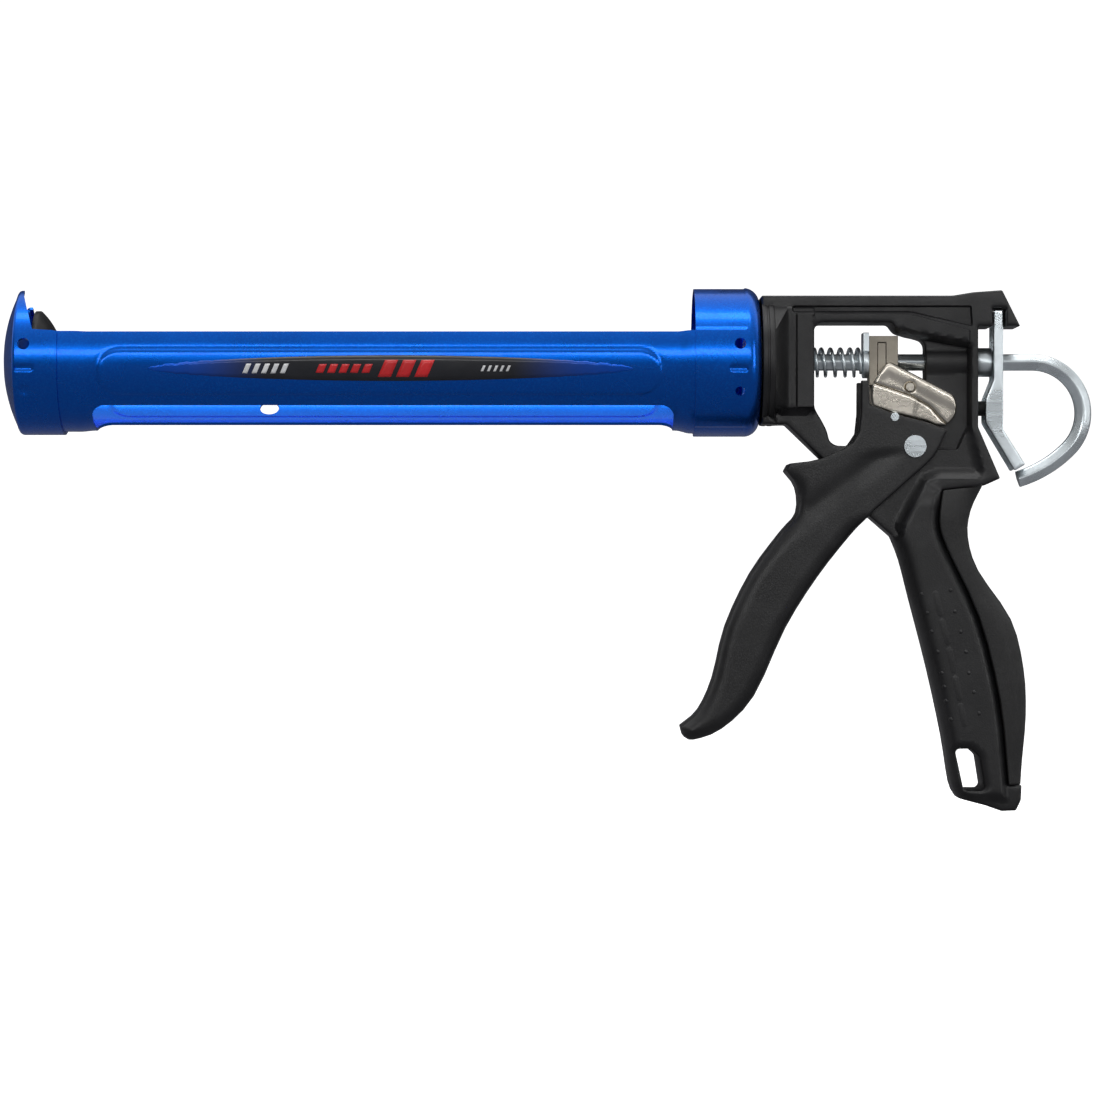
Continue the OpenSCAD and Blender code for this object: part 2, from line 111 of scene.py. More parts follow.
def grid_faces(rows, columns, wrap_rows=False, wrap_columns=False, flip=False):
    """Four-cornered faces of a grid of points, closed on itself along either side if asked."""
    i = np.arange(rows if wrap_rows else rows - 1)
    j = np.arange(columns if wrap_columns else columns - 1)
    i, j = np.meshgrid(i, j, indexing="ij")
    i2, j2 = (i + 1) % rows, (j + 1) % columns
    quad = np.stack([i * columns + j, i2 * columns + j, i2 * columns + j2, i * columns + j2], -1)
    quad = quad.reshape(-1, 4)
    return quad[:, ::-1] if flip else quad


def break_edges(made, width, degrees):
    """Rounds the edges steeper than so many degrees, over a width in millimetres."""
    soft = made.modifiers.new("soft_edges", "BEVEL")
    soft.width, soft.segments = width * MM, 2
    soft.limit_method, soft.angle_limit = "ANGLE", math.radians(degrees)
    soft.harden_normals = True


# %% Node helpers
def feed(socket, value):
    """Sets a socket to a number, a colour or what another socket gives."""
    if isinstance(value, bpy.types.NodeSocket):
        socket.id_data.links.new(value, socket)
    else:
        socket.default_value = (*value, 1) if isinstance(value, tuple) else value


def read(tree, kind, output):
    """One output of a node that only reads something, such as a place or a normal."""
    return tree.nodes.new(kind).outputs[output]


def object_place(tree):
    """Where a point is in its piece's own coordinates."""
    return read(tree, "ShaderNodeTexCoord", "Object")


def math_node(tree, how, a, b):
    """A Math node; a and b are each a socket or a number."""
    node = tree.nodes.new("ShaderNodeMath")
    node.operation = how
    feed(node.inputs[0], a)
    feed(node.inputs[1], b)
    return node.outputs[0]


def add(tree, a, b):
    """a + b."""
    return math_node(tree, "ADD", a, b)


def times(tree, a, b):
    """a times b."""
    return math_node(tree, "MULTIPLY", a, b)


def mixed(tree, share, a, b):
    """Colour a where share is 0 and colour b where it is 1."""
    node = tree.nodes.new("ShaderNodeMix")
    node.data_type = "RGBA"
    for label, value in (("Factor", share), ("A", a), ("B", b)):
        feed(node.inputs[label], value)
    return node.outputs["Result"]


def noise(tree, place, scale, detail=3.0):
    """A noise of one scale, in waves to a metre, read at a place."""
    node = tree.nodes.new("ShaderNodeTexNoise")
    for label, value in (("Detail", detail), ("Vector", place), ("Scale", scale)):
        feed(node.inputs[label], value)
    return node.outputs["Fac"]


def ramp(tree, value, low, high):
    """Goes from 0 to 1 as value goes from low to high."""
    node = tree.nodes.new("ShaderNodeMapRange")
    node.interpolation_type = "SMOOTHSTEP"
    for label, given in (("Value", value), ("From Min", low), ("From Max", high)):
        feed(node.inputs[label], given)
    return node.outputs["Result"]


def along_axes(tree, vector):
    """The X, Y and Z of a vector."""
    split = tree.nodes.new("ShaderNodeSeparateXYZ")
    feed(split.inputs[0], vector)
    return split.outputs


def new_material(name):
    """A material with its node tree and its shader."""
    material = bpy.data.materials.new(name)
    material.use_nodes = True
    return material, material.node_tree, material.node_tree.nodes["Principled BSDF"]


# %% Floor
FLOOR_GAP = 0.012


def floor_sheet():
    """A sweep: flat for most of its depth, then a quarter circle up, then straight."""
    front, flat, bend = 2.5, 2.4, 0.9
    run = np.linspace(0, 1, 60)
    turn = np.radians(90) * np.clip((run - 0.5) / 0.3, 0, 1)
    y = -front + np.minimum(run / 0.5, 1) * (flat + front) + bend * np.sin(turn)
    z = cad_low.z - FLOOR_GAP + bend * (1 - np.cos(turn)) + np.clip(run - 0.8, 0, 1) * 14
    x = np.linspace(-4.5, 4.5, 3)
    grid = np.stack(np.broadcast_arrays(x[:, None], y, z), -1)
    return put_mesh("floor", grid.reshape(-1, 3), grid_faces(3, run.size))


# %% Paper for the floor
def pale_paper():
    """White where it is seen straight, darker where the tool mirrors it, and clear from below."""
    material, tree, shader = new_material("pale_paper")
    seen = read(tree, "ShaderNodeLightPath", "Is Camera Ray")
    back = read(tree, "ShaderNodeNewGeometry", "Backfacing")
    looks = {"Base Color": mixed(tree, seen, (0.22, 0.22, 0.23), (0.93, 0.93, 0.93)),
             "Emission Color": (1, 1, 1), "Emission Strength": times(tree, seen, 0.78),
             "Alpha": math_node(tree, "SUBTRACT", 1.0, back), "Roughness": 0.95,
             "Specular IOR Level": 0.1}
    for label, value in looks.items():
        feed(shader.inputs[label], value)
    return material


floor = floor_sheet()
floor.data.materials.append(pale_paper())
print("floor is", round((cad_low.z - FLOOR_GAP) / MM), "mm below the rod")


# %% Lamps
def lamp(name, place, aim, size, power, height):
    """A soft rectangular lamp that points at a place on the tool."""
    data = bpy.data.lights.new(name, "AREA")
    data.shape = "RECTANGLE"
    data.size, data.size_y, data.energy = size, height, power
    turn = (Vector(aim) - Vector(place)).to_track_quat("-Z", "Y").to_euler()
    return place_object(name, data, place, turn)


middle = (CENTRE_X, 0, CENTRE_Z)
lamp("lamp_over", (-0.1, -0.35, 1.3), middle, 1.6, 6, 0.3)
lamp("lamp_front", (-0.1, -1.7, 0.42), middle, 2.6, 10, 0.28)
lamp("lamp_right", (1.4, -0.8, 0.1), middle, 0.3, 3.5, 0.9)


# %% Studio walls
def studio():
    """The world seen in the gloss: pale behind and above, dark in front, with a paler band of sky
    between. Its brightness depends on the direction alone. Seen straight it is never dark."""
    world = bpy.data.worlds.new("studio")
    world.use_nodes = True
    tree = world.node_tree
    way = along_axes(tree, read(tree, "ShaderNodeTexCoord", "Generated"))
    behind = ramp(tree, way["Y"], -0.25, 0.55)
    above = ramp(tree, way["Z"], 0.15, 0.9)
    below = times(tree, ramp(tree, times(tree, way["Z"], -1.0), 0.1, 0.8), 0.25)
    light = add(tree, times(tree, behind, 0.9), times(tree, above, 0.6))
    light = add(tree, add(tree, light, below), 0.1)
    seen = read(tree, "ShaderNodeLightPath", "Is Camera Ray")
    light = math_node(tree, "MINIMUM", light, 1.0)
    light = math_node(tree, "MAXIMUM", light, times(tree, seen, 0.92))
    feed(tree.nodes["Background"].inputs["Strength"], light)
    feed(tree.nodes["Background"].inputs["Color"], (1, 1, 1))
    return world


bpy.context.scene.world = studio()
bpy.context.scene.view_settings.view_transform = "Standard"

# %% [markdown]
# ## Finishes
# Every finish on the tool shares a few effects: a fine grain that breaks the gloss, broad
# smudges from handling, and a little wear where an edge is proud. Each effect is a node
# group made once. A group hands out only masks and heights, so the shader of each finish
# stays in its own material, where it can be read and changed.

# %% Shared effects
def group_with(name, inputs, outputs):
    """Makes an empty shader group with float inputs and float outputs."""
    tree = bpy.data.node_groups.new(name, "ShaderNodeTree")
    for label, value in inputs.items():
        socket = tree.interface.new_socket(label, in_out="INPUT", socket_type="NodeSocketFloat")
        socket.default_value = value
    for label in outputs:
        tree.interface.new_socket(label, in_out="OUTPUT", socket_type="NodeSocketFloat")
    return tree, tree.nodes.new("NodeGroupInput").outputs, tree.nodes.new("NodeGroupOutput").inputs


def grain_group():
    """Grain: fine noise plus coarser noise at a sixth of its scale. Out: height."""
    tree, given, out = group_with("surface_grain", {"Scale": 2500.0, "Coarse": 0.5}, ["Height"])
    place = object_place(tree)
    fine = noise(tree, place, given["Scale"], 2)
    broad = noise(tree, place, math_node(tree, "DIVIDE", given["Scale"], 6.0), 2)
    feed(out["Height"], add(tree, fine, times(tree, broad, given["Coarse"])))
    return tree


def handling_group():
    """Smudges: broad noise. Out: a mask, and a tone that varies about 1."""
    tree, given, out = group_with("handling", {"Scale": 40.0, "Amount": 0.1}, ["Smudge", "Tone"])
    broad = noise(tree, object_place(tree), given["Scale"], 4)
    feed(out["Smudge"], times(tree, ramp(tree, broad, 0.42, 0.68), given["Amount"]))
    drift = times(tree, math_node(tree, "SUBTRACT", broad, 0.5), given["Amount"])
    feed(out["Tone"], add(tree, drift, 1.0))
    return tree


def edge_group():
    """Edges: how far a bevelled normal leans from the true one, broken up by noise. Out: a mask."""
    tree, given, out = group_with("edge_wear", {"Radius": 0.0008, "Amount": 0.5}, ["Edge"])
    bevel = tree.nodes.new("ShaderNodeBevel")
    bevel.samples = 4
    feed(bevel.inputs["Radius"], given["Radius"])
    dot = tree.nodes.new("ShaderNodeVectorMath")
    dot.operation = "DOT_PRODUCT"
    feed(dot.inputs[0], bevel.outputs["Normal"])
    feed(dot.inputs[1], read(tree, "ShaderNodeNewGeometry", "Normal"))
    lean = math_node(tree, "SUBTRACT", 1.0, dot.outputs["Value"])
    broken = ramp(tree, noise(tree, object_place(tree), 220.0, 4), 0.35, 0.7)
    mask = times(tree, ramp(tree, lean, 0.03, 0.25), broken)
    feed(out["Edge"], times(tree, mask, given["Amount"]))
    return tree


GRAIN, HANDLING, EDGES = grain_group(), handling_group(), edge_group()
print("effects:", GRAIN.name, HANDLING.name, EDGES.name)


def effect(tree, group, **amounts):
    """Places a shared effect in a material, with its own amounts; gives its outputs."""
    node = tree.nodes.new("ShaderNodeGroup")
    node.node_tree = group
    for label, value in amounts.items():
        node.inputs[label].default_value = value
    return node.outputs


# %% A finish from plain words
def finish(name, colour, worn, rough, metal, grain_scale, grain_height, smudge=0.15, edge=0.4,
           coat=0.0, coarse=0.5, flakes=None, streaks=0.0):
    """Mixes a base colour with a worn edge colour, and adds grain, smudges, flakes and streaks."""
    material, tree, shader = new_material(name)
    grain = effect(tree, GRAIN, Scale=grain_scale, Coarse=coarse)
    hand = effect(tree, HANDLING, Amount=smudge)
    edges = effect(tree, EDGES, Amount=edge)
    place = object_place(tree)
    second = flakes or tuple(min(1, c * 1.25 + 0.004) for c in colour)
    fleck = ramp(tree, noise(tree, place, 1400.0 if flakes else 90.0, 3), 0.4, 0.75)
    tone = tree.nodes.new("ShaderNodeHueSaturation")
    feed(tone.inputs["Value"], hand["Tone"])
    feed(tone.inputs["Color"], mixed(tree, fleck, colour, second))
    feed(shader.inputs["Base Color"], mixed(tree, edges["Edge"], tone.outputs["Color"], worn))
    gloss, height = add(tree, hand["Smudge"], rough), grain["Height"]
    if streaks:
        stretched = tree.nodes.new("ShaderNodeMapping")
        stretched.inputs["Scale"].default_value = (12, 900, 900)
        feed(stretched.inputs["Vector"], place)
        lines = noise(tree, stretched.outputs["Vector"], 1.0, 3)
        height = add(tree, height, times(tree, lines, streaks))
        gloss = add(tree, gloss, times(tree, lines, 0.12))
    bump = tree.nodes.new("ShaderNodeBump")
    for label, value in (("Strength", 0.6), ("Distance", grain_height), ("Height", height)):
        feed(bump.inputs[label], value)
    looks = {"Roughness": gloss, "Normal": bump.outputs["Normal"], "Metallic": metal,
             "Coat Weight": coat, "Coat Roughness": 0.06}
    for label, value in looks.items():
        feed(shader.inputs[label], value)
    return material


# %% [markdown]
# The cradle is sheet steel in a candy blue: a metallic base with flakes under clear
# lacquer. The casting and trigger are satin black with a faint orange-peel grain. The rod,
# the release plate and the springs are zinc plated, with drawing lines along the bar, and
# the drive lever has a warmer nickel plate. The drive block is a darker, duller warm steel.

# %% The tool's finishes
BLUE = finish("blue_lacquer", (0.0006, 0.105, 0.6), (0.02, 0.26, 0.8), 0.27, 0.95, 900, 0.000005,
              smudge=0.05, edge=0.03, coat=0.2, flakes=(0.001, 0.14, 0.7))
BLACK = finish("black_moulding", (0.007, 0.007, 0.0078), (0.05, 0.05, 0.055), 0.4, 0.0, 1800,
               0.0001, smudge=0.12, edge=0.45)
PAD = finish("palm_pad", (0.0065, 0.0065, 0.007), (0.05, 0.05, 0.055), 0.52, 0.0, 2600, 0.0002,
             smudge=0.1, edge=0.4)
ZINC = finish("zinc_plate", (0.68, 0.74, 0.77), (0.88, 0.9, 0.9), 0.2, 0.95, 1500, 0.00003,
              smudge=0.14, edge=0.25, streaks=0.22)
NICKEL = finish("warm_nickel", (0.62, 0.58, 0.51), (0.8, 0.77, 0.7), 0.27, 0.95, 700, 0.00006,
                smudge=0.12, edge=0.14, coarse=1.0)
# A darker, duller steel with a warm tint, for the drive block and its gripping plate.
GREY = finish("dull_warm_steel", (0.34, 0.31, 0.26), (0.55, 0.52, 0.46), 0.42, 0.8, 900, 0.00012,
              smudge=0.2, edge=0.5)
SOOT = finish("black_steel", (0.006, 0.006, 0.007), (0.06, 0.06, 0.06), 0.36, 0.2, 1200, 0.00006,
              smudge=0.15, edge=0.5)
print("finishes:", [m.name for m in (BLUE, BLACK, PAD, ZINC, NICKEL, GREY, SOOT)])


def dress(made, material, body, slot, *stands_for):
    """Gives a new piece its finish, the body it moves with and the solids it stands for."""
    made.data.materials.append(material)
    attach(made, body)
    if stands_for:
        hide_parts(*stands_for)
    print(made.name, "has", len(made.data.vertices), "points")
    return made

# %% [markdown]
# ## The half-pipe
# The barrel is one sheet, rolled to a half-pipe, with a long slot along its bottom and a
# raised panel pressed into each side. We work it out as a function of the distance along
# the rod and the angle up from the bottom: the radius swells at both ends, where the sheet
# fits its cap and collar, and lifts inside the panel's outline. Solidify gives the sheet
# its thickness.

# %% Measures of the cradle
NOSE, CAP_R, COLLAR_R, BARREL_R, SHEET = -294.5, 28.3, 29.0, 26.6, 1.2
DOME_R = 59.7
FIT = 0.05                                      # how loosely one sheet sits in the next
CAP_FRONT = NOSE + DOME_R - math.sqrt(DOME_R ** 2 - CAP_R ** 2)
CAP_BACK = CAP_FRONT + 16.4
SLOT_FRONT, SLOT_BACK = CAP_BACK + 12.5, -34.2
STRIP_TOP, CRADLE_TURN = math.radians(102), math.radians(-12)
# Angles up from the bottom: where fixing holes, slits and low holes are
HOLES_AT, SLITS_AT, LOW_HOLES_AT = math.radians(90), math.radians(71), math.radians(53)
CAP_HOLES_X, COLLAR_HOLES_X = CAP_FRONT + 3.8, -9.0
print("cap from", round(CAP_FRONT, 1), "to", round(CAP_BACK, 1), "mm")


def cradle_points(x, radius, angle):
    """Places points from X, radius and angle up from the bottom, towards the near side, then
    turns them about the rod as the cradle lies at rest. Millimetres in, metres out."""
    y, z = -radius * np.sin(angle), -radius * np.cos(angle)
    c, s = math.cos(CRADLE_TURN), math.sin(CRADLE_TURN)
    return np.stack(np.broadcast_arrays(x, y * c - z * s, y * s + z * c), -1) * MM


def smooth_step(value, low, high):
    """0 below low, 1 above high, and an even S between them."""
    t = np.clip((value - low) / (high - low), 0, 1)
    return t * t * (3 - 2 * t)


def stadium(u, v, half_u, half_v, round_r):
    """Distance outside a rectangle with round corners, less than 0 inside."""
    du, dv = np.abs(u) - half_u + round_r, np.abs(v) - half_v + round_r
    outside = np.hypot(np.maximum(du, 0), np.maximum(dv, 0))
    return outside + np.minimum(np.maximum(du, dv), 0) - round_r


def sunk(distance, low, high, deep):
    """Deep up to a distance of low, and 0 beyond high."""
    return deep * (1 - smooth_step(distance, low, high))


def thicken(made, thickness):
    """Gives a skin its thickness, inwards."""
    wall = made.modifiers.new("sheet", "SOLIDIFY")
    wall.thickness, wall.offset, wall.use_even_offset = thickness * MM, -1.0, True
    return made


def sheet_part(name, places, faces, stands_for, sharp=35.0):
    """A pressed part of the cradle: sheet steel with broken edges, in blue."""
    made = thicken(put_mesh(name, places, faces, sharp), SHEET)
    break_edges(made, 0.2, 50)
    return dress(made, BLUE, "cradle", "blue_lacquer", stands_for)


# %% Punched holes
def punch(u, v, faces, holes):
    """Drops the faces whose middle is inside a round hole, and draws the hole's rim into a circle.
    u and v are places on the flattened sheet in millimetres; a hole is (u, v, radius)."""
    u, v = u.copy(), v.copy()
    for hole_u, hole_v, hole_r in holes:
        mid_u, mid_v = u[faces].mean(1) - hole_u, v[faces].mean(1) - hole_v
        gone = np.hypot(mid_u, mid_v) < hole_r
        rim = np.intersect1d(faces[gone], faces[~gone])
        away = np.maximum(np.hypot(u[rim] - hole_u, v[rim] - hole_v), 1e-6)
        u[rim] = hole_u + (u[rim] - hole_u) * hole_r / away
        v[rim] = hole_v + (v[rim] - hole_v) * hole_r / away
        faces = faces[~gone]
    return u, v, faces


# %% Roll the half-pipe
PANEL_LIFT = 0.55


def barrel():
    """Rows of X against three zones of angle: a strip, the bottom, a strip. The slot's edge is a
    straight with round corners, and the bottom zone has no faces between the slot's ends."""
    corner, half_slot = 5.0, BARREL_R * math.sin(math.radians(37))
    ends = np.linspace(0, 1, 9) ** 2 * corner
    x = np.concatenate([np.arange(CAP_FRONT + 1.4, SLOT_FRONT - 0.4, 0.8), SLOT_FRONT + ends,
                        np.arange(SLOT_FRONT + corner + 0.9, SLOT_BACK - corner, 0.9),
                        SLOT_BACK - ends[::-1], np.arange(SLOT_BACK + 0.8, -6.7, 0.9), [-6.7]])
    inside = np.clip(np.minimum(x - SLOT_FRONT, SLOT_BACK - x), 0, corner)
    edge = half_slot - corner + np.sqrt(corner ** 2 - (corner - inside) ** 2)
    low = np.arcsin(edge / BARREL_R)
    strip, middle = np.linspace(0, 1, 42), np.linspace(-1, 1, 22)[1:-1]
    near = low[:, None] + (STRIP_TOP - low[:, None]) * strip
    angle = np.concatenate([-near[:, ::-1], low[:, None] * middle, near], 1)
    rows, columns = angle.shape
    x = np.repeat(x[:, None], columns, 1)
    faces = grid_faces(rows, columns)
    mid_x, column = x.ravel()[faces].mean(1), (faces % columns).min(1)
    bottom = (column >= strip.size - 1) & (column < columns - strip.size)
    faces = faces[~(bottom & (mid_x > SLOT_FRONT) & (mid_x < SLOT_BACK))]
    drain = (NOSE + 101.8, -math.radians(61) * BARREL_R, 3.7)
    through = [(at, side * turn * BARREL_R, r) for side in (-1, 1)
               for at, turn, r in ((CAP_HOLES_X, HOLES_AT, 2.6), (COLLAR_HOLES_X, HOLES_AT, 2.5),
                                   (COLLAR_HOLES_X, LOW_HOLES_AT, 2.2))]
    u, v, faces = punch(x.ravel(), (angle * BARREL_R).ravel(), faces, [drain] + through)
    angle = v / BARREL_R
    flare = sunk(u, CAP_BACK + 6, CAP_BACK + 12, CAP_R - SHEET - FIT - BARREL_R)
    flare += (COLLAR_R - SHEET - FIT - BARREL_R) * smooth_step(u, SLOT_BACK + 1, SLOT_BACK + 7)
    panel = stadium(u - (SLOT_FRONT + SLOT_BACK) / 2 + 1, np.abs(v) - math.radians(67) * BARREL_R,
                    (SLOT_BACK - SLOT_FRONT) / 2 - 4, 8.7, 8.6)
    lift = sunk(panel, -0.6, 0.6, PANEL_LIFT) - 0.12 * np.exp(-(panel - 0.9) ** 2 / 0.5)
    places = cradle_points(u, BARREL_R + flare + lift, angle)
    sheet_part("half_pipe_sheet", places, faces, "barrel_shell")


barrel()

# %% [markdown]
# ## The nose cap
# The cap is pressed as a shallow dome with a short skirt, then cut open at the top so that
# a cartridge's nozzle drops in. Seen from the front it is a horseshoe. Its profile is
# carried round the rod, and each ring stops where the notch begins, so the notch's sides
# come out straight.

# %% Press the nose cap
def nose_cap():
    """Profile: a dome from the notch out, a corner of small radius, then the skirt. The dome's
    rings run to where they meet the notch's side; the skirt ends at a slope above the strips'
    tops."""
    notch, corner = 12.0, 1.6
    r_dome = np.linspace(notch, CAP_R - corner, 26)
    x_dome = NOSE + DOME_R - np.sqrt(DOME_R ** 2 - r_dome ** 2)
    bend = np.radians(np.linspace(12, 90, 8))
    r_bend = CAP_R - corner + corner * np.sin(bend)
    x_bend = x_dome[-1] + corner * (1 - np.cos(bend)) - 0.03
    radius = np.concatenate([r_dome, r_bend])
    x_front = np.concatenate([x_dome, x_bend])
    reach = math.pi - np.arcsin(notch / radius)
    share = np.linspace(-1, 1, 301)
    angle = reach[:, None] * share
    x = np.repeat(x_front[:, None], share.size, 1)
    ring = np.repeat(radius[:, None], share.size, 1)
    steps = np.linspace(0, 1, 24)[1:]
    last = angle[-1]
    height = -CAP_R * np.cos(last)
    slope = np.interp(height, [-99, 5.45, 5.75, 22.6, 30],
                      [CAP_BACK, CAP_BACK, CAP_FRONT + 7, CAP_FRONT + 2, CAP_FRONT + 1])
    skirt_x = x_front[-1] + steps[:, None] * (slope - x_front[-1])
    x = np.concatenate([x, skirt_x])
    ring = np.concatenate([ring, np.full_like(skirt_x, CAP_R)])
    angle = np.concatenate([angle, np.repeat(last[None], steps.size, 0)])
    rows, columns = x.shape
    faces = grid_faces(rows, columns)
    holes = [(CAP_HOLES_X, side * HOLES_AT * CAP_R, 2.3) for side in (-1, 1)]
    on_skirt = (faces // columns).min(1) >= radius.size - 1
    u, v = x.ravel(), (angle * CAP_R).ravel()
    u, v, kept = punch(u, v, faces[on_skirt], holes)
    faces = np.concatenate([faces[~on_skirt], kept])
    skirt = ring.ravel() > CAP_R - 0.02
    dimple = np.hypot(u - CAP_HOLES_X, np.abs(v) - LOW_HOLES_AT * CAP_R)
    slit = stadium(u - CAP_HOLES_X + 0.6, np.abs(v) - SLITS_AT * CAP_R, 3.9, 0.8, 0.7)
    press = sunk(dimple, 1.0, 2.6, 0.7) + sunk(slit, -0.2, 0.6, 0.7)
    places = cradle_points(u, ring.ravel() - press * skirt, v / CAP_R)
    sheet_part("nose_cap_sheet", places, faces, "nose_cap", 50)


nose_cap()

# %% [markdown]
# ## The rear collar
# The collar is a deep-drawn cup with a round shoulder. The barrel's end pushes the skirt
# outwards a little, which leaves a soft step in its outline, and the two sheets are locked
# by a pair of holes with a lanced slit between them on each side.

# %% Draw the collar
def collar():
    """Profile: flat back from the swivel's hole, a quarter circle, then the skirt forwards.
    The skirt lifts where the half-pipe backs it and sinks along the slits."""
    back, bend_r, hole_r, front = -0.6, 6.0, 8.1, -26.0
    flat = np.linspace(hole_r, COLLAR_R - bend_r, 12)
    bend = np.radians(np.linspace(0, 90, 16))[1:]
    skirt = np.linspace(back - bend_r, front, 42)[1:]
    radius = np.concatenate([flat, COLLAR_R - bend_r + bend_r * np.sin(bend),
                             np.full(skirt.size, COLLAR_R)])
    x = np.concatenate([np.full(flat.size, back), back - bend_r + bend_r * np.cos(bend), skirt])
    angle = np.linspace(0, 2 * math.pi, 361)[:-1]
    u = np.repeat(x[:, None], angle.size, 1)
    ring = np.repeat(radius[:, None], angle.size, 1)
    turn = np.repeat(angle[None], x.size, 0)
    turn = np.where(turn > math.pi, turn - 2 * math.pi, turn)
    faces = grid_faces(x.size, angle.size, wrap_columns=True)
    on_skirt = (faces // angle.size).min(1) >= flat.size + bend.size - 2
    seam = np.abs(turn.ravel()[faces]).max(1) > 3.0
    u, v = u.ravel(), (turn * COLLAR_R).ravel()
    holes = [(COLLAR_HOLES_X, side * at * COLLAR_R, r) for side in (-1, 1)
             for at, r in ((HOLES_AT, 2.2), (LOW_HOLES_AT, 1.9))]
    open_to = on_skirt & ~seam
    u, v, kept = punch(u, v, faces[open_to], holes)
    faces = np.concatenate([faces[~open_to], kept])
    span = STRIP_TOP * COLLAR_R
    backed = stadium(u + 26, np.abs(v) - span / 2 - 4, 22.5, span / 2 - 4, 3.0)
    slit = stadium(u - COLLAR_HOLES_X, np.abs(v) - SLITS_AT * COLLAR_R, 3.6, 0.8, 0.7)
    swell = -0.4 * smooth_step(backed, -0.5, 0.9) - sunk(slit, -0.2, 0.6, 0.7)
    swell = swell * (ring.ravel() > COLLAR_R - 0.02)
    places = cradle_points(u, ring.ravel() + swell, v / COLLAR_R)
    sheet_part("rear_collar_cup", places, faces[:, ::-1], "rear_collar", 50)


collar()

# %% [markdown]
# ## The painted stripe
# A dark brush-like streak is printed along the near panel, with a few slanted bars on it.
# They are skins a twentieth of a millimetre thick that lie just proud of the lacquer, so
# they keep a crisp edge at any distance. The bars are plain shapes and say nothing.

# %% Print finishes
def plain_ink(name, ink, worn, rough, coat):
    """A thin even print: hardly any grain, no wear at its edges, under a little lacquer."""
    return finish(name, ink, worn, rough, 0.0, 900, 0.000008, smudge=0.08, edge=0.0, coat=coat)


def fading_ink(name, ink, under, left, right, fade):
    """Ink whose colour and gloss run out into the lacquer at both ends, along X."""
    material = plain_ink(name, ink, (0.03, 0.03, 0.04), 0.3, 0.3)
    tree = material.node_tree
    shader = tree.nodes["Principled BSDF"].inputs
    x = along_axes(tree, object_place(tree))["X"]
    front = ramp(tree, x, left * MM, (left + fade) * MM)
    back = ramp(tree, x, (right - fade) * MM, right * MM)
    clear = math_node(tree, "MAXIMUM", math_node(tree, "SUBTRACT", 1.0, front), back)
    printed_colour = shader["Base Color"].links[0].from_socket
    feed(shader["Base Color"], mixed(tree, clear, printed_colour, under))
    feed(shader["Metallic"], times(tree, clear, 0.92))
    return material


STREAK_FRONT, STREAK_BACK, STRIPE_ANGLE = -236, -50, math.radians(70.4)
INK = fading_ink("stripe_ink", (0.004, 0.005, 0.009), (0.0015, 0.1, 0.66), STREAK_FRONT,
                 STREAK_BACK, 48)
RED = plain_ink("red_ink", (0.6, 0.01, 0.014), (0.7, 0.1, 0.1), 0.34, 0.4)
WHITE = plain_ink("white_ink", (0.7, 0.71, 0.72), (0.8, 0.8, 0.8), 0.36, 0.3)


def printed(name, patches, material, slot, proud):
    """A skin between two edges. A patch is X, the lower edge and the upper edge, where an edge
    is a height above the stripe's middle on the flattened sheet."""
    points, faces, count = [], [], 0
    for u, bottom, top in patches:
        share = np.linspace(0, 1, 6)
        rise = bottom[:, None] + (top - bottom)[:, None] * share
        u = np.repeat(u[:, None], share.size, 1) if u.ndim == 1 else u
        at = STRIPE_ANGLE + rise / BARREL_R
        points.append(cradle_points(u, BARREL_R + PANEL_LIFT + proud, at).reshape(-1, 3))
        faces.append(grid_faces(*rise.shape) + count)
        count += rise.size
    made = thicken(put_mesh(name, np.concatenate(points), np.concatenate(faces)), 0.05)
    return dress(made, material, "cradle", slot)


def streak():
    """Half its height follows a long lens shape, frayed at both ends by a few fine fingers."""
    x = np.linspace(STREAK_FRONT, STREAK_BACK, 372)
    t = (x - STREAK_FRONT) / (STREAK_BACK - STREAK_FRONT)
    body = 5.0 * np.clip(np.sin(np.pi * t), 0.001, 1) ** 0.55
    fray = 0.5 * np.sin(x * 0.9) + 0.35 * np.sin(x * 2.3 + 1) + 0.2 * np.sin(x * 5.1)
    ends = 1 - smooth_step(np.minimum(t, 1 - t), 0.02, 0.2)
    top = body + fray * ends * body / 5
    low = -body * 0.95 + 0.7 * fray * ends * body / 5
    return printed("painted_streak", [(x, low, top)], INK, "black_steel", 0.06)


def bars(name, starts, width, height, material):
    """Slanted bars of one height: each is a strip whose X leans with its rise."""
    lean = 0.45 * height * (np.linspace(0, 1, 6) - 0.5)
    across = np.linspace(0, width, 4)
    half = np.full(across.size, height / 2)
    patches = [(start + across[:, None] + lean[None], -half, half) for start in starts]
    return printed(name, patches, material, "blue_lacquer", 0.1)


streak()
bars("printed_low_bars", np.arange(-171, -149, 4.4), 2.9, 3.3, RED)
bars("printed_tall_bars", np.arange(-146.5, -126, 7.0), 5.0, 6.4, RED)
bars("printed_pale_bars", np.arange(-199, -181, 3.6), 1.9, 3.6, WHITE)
bars("printed_small_bars", np.arange(-108, -96, 2.4), 1.0, 2.2, WHITE)
# %% [markdown]
# ## Flat castings as reliefs
# The head, the trigger, the lever and the release plate are all flat-sided: seen from the
# side each is an outline, and its thickness changes from place to place. So one helper
# makes them all. It fills the outline with a net of triangles, then lifts each point by a
# half thickness that is a function of its place, once to the near side and once to the
# far side. Edges are rounded by letting that thickness fall along a quarter circle.

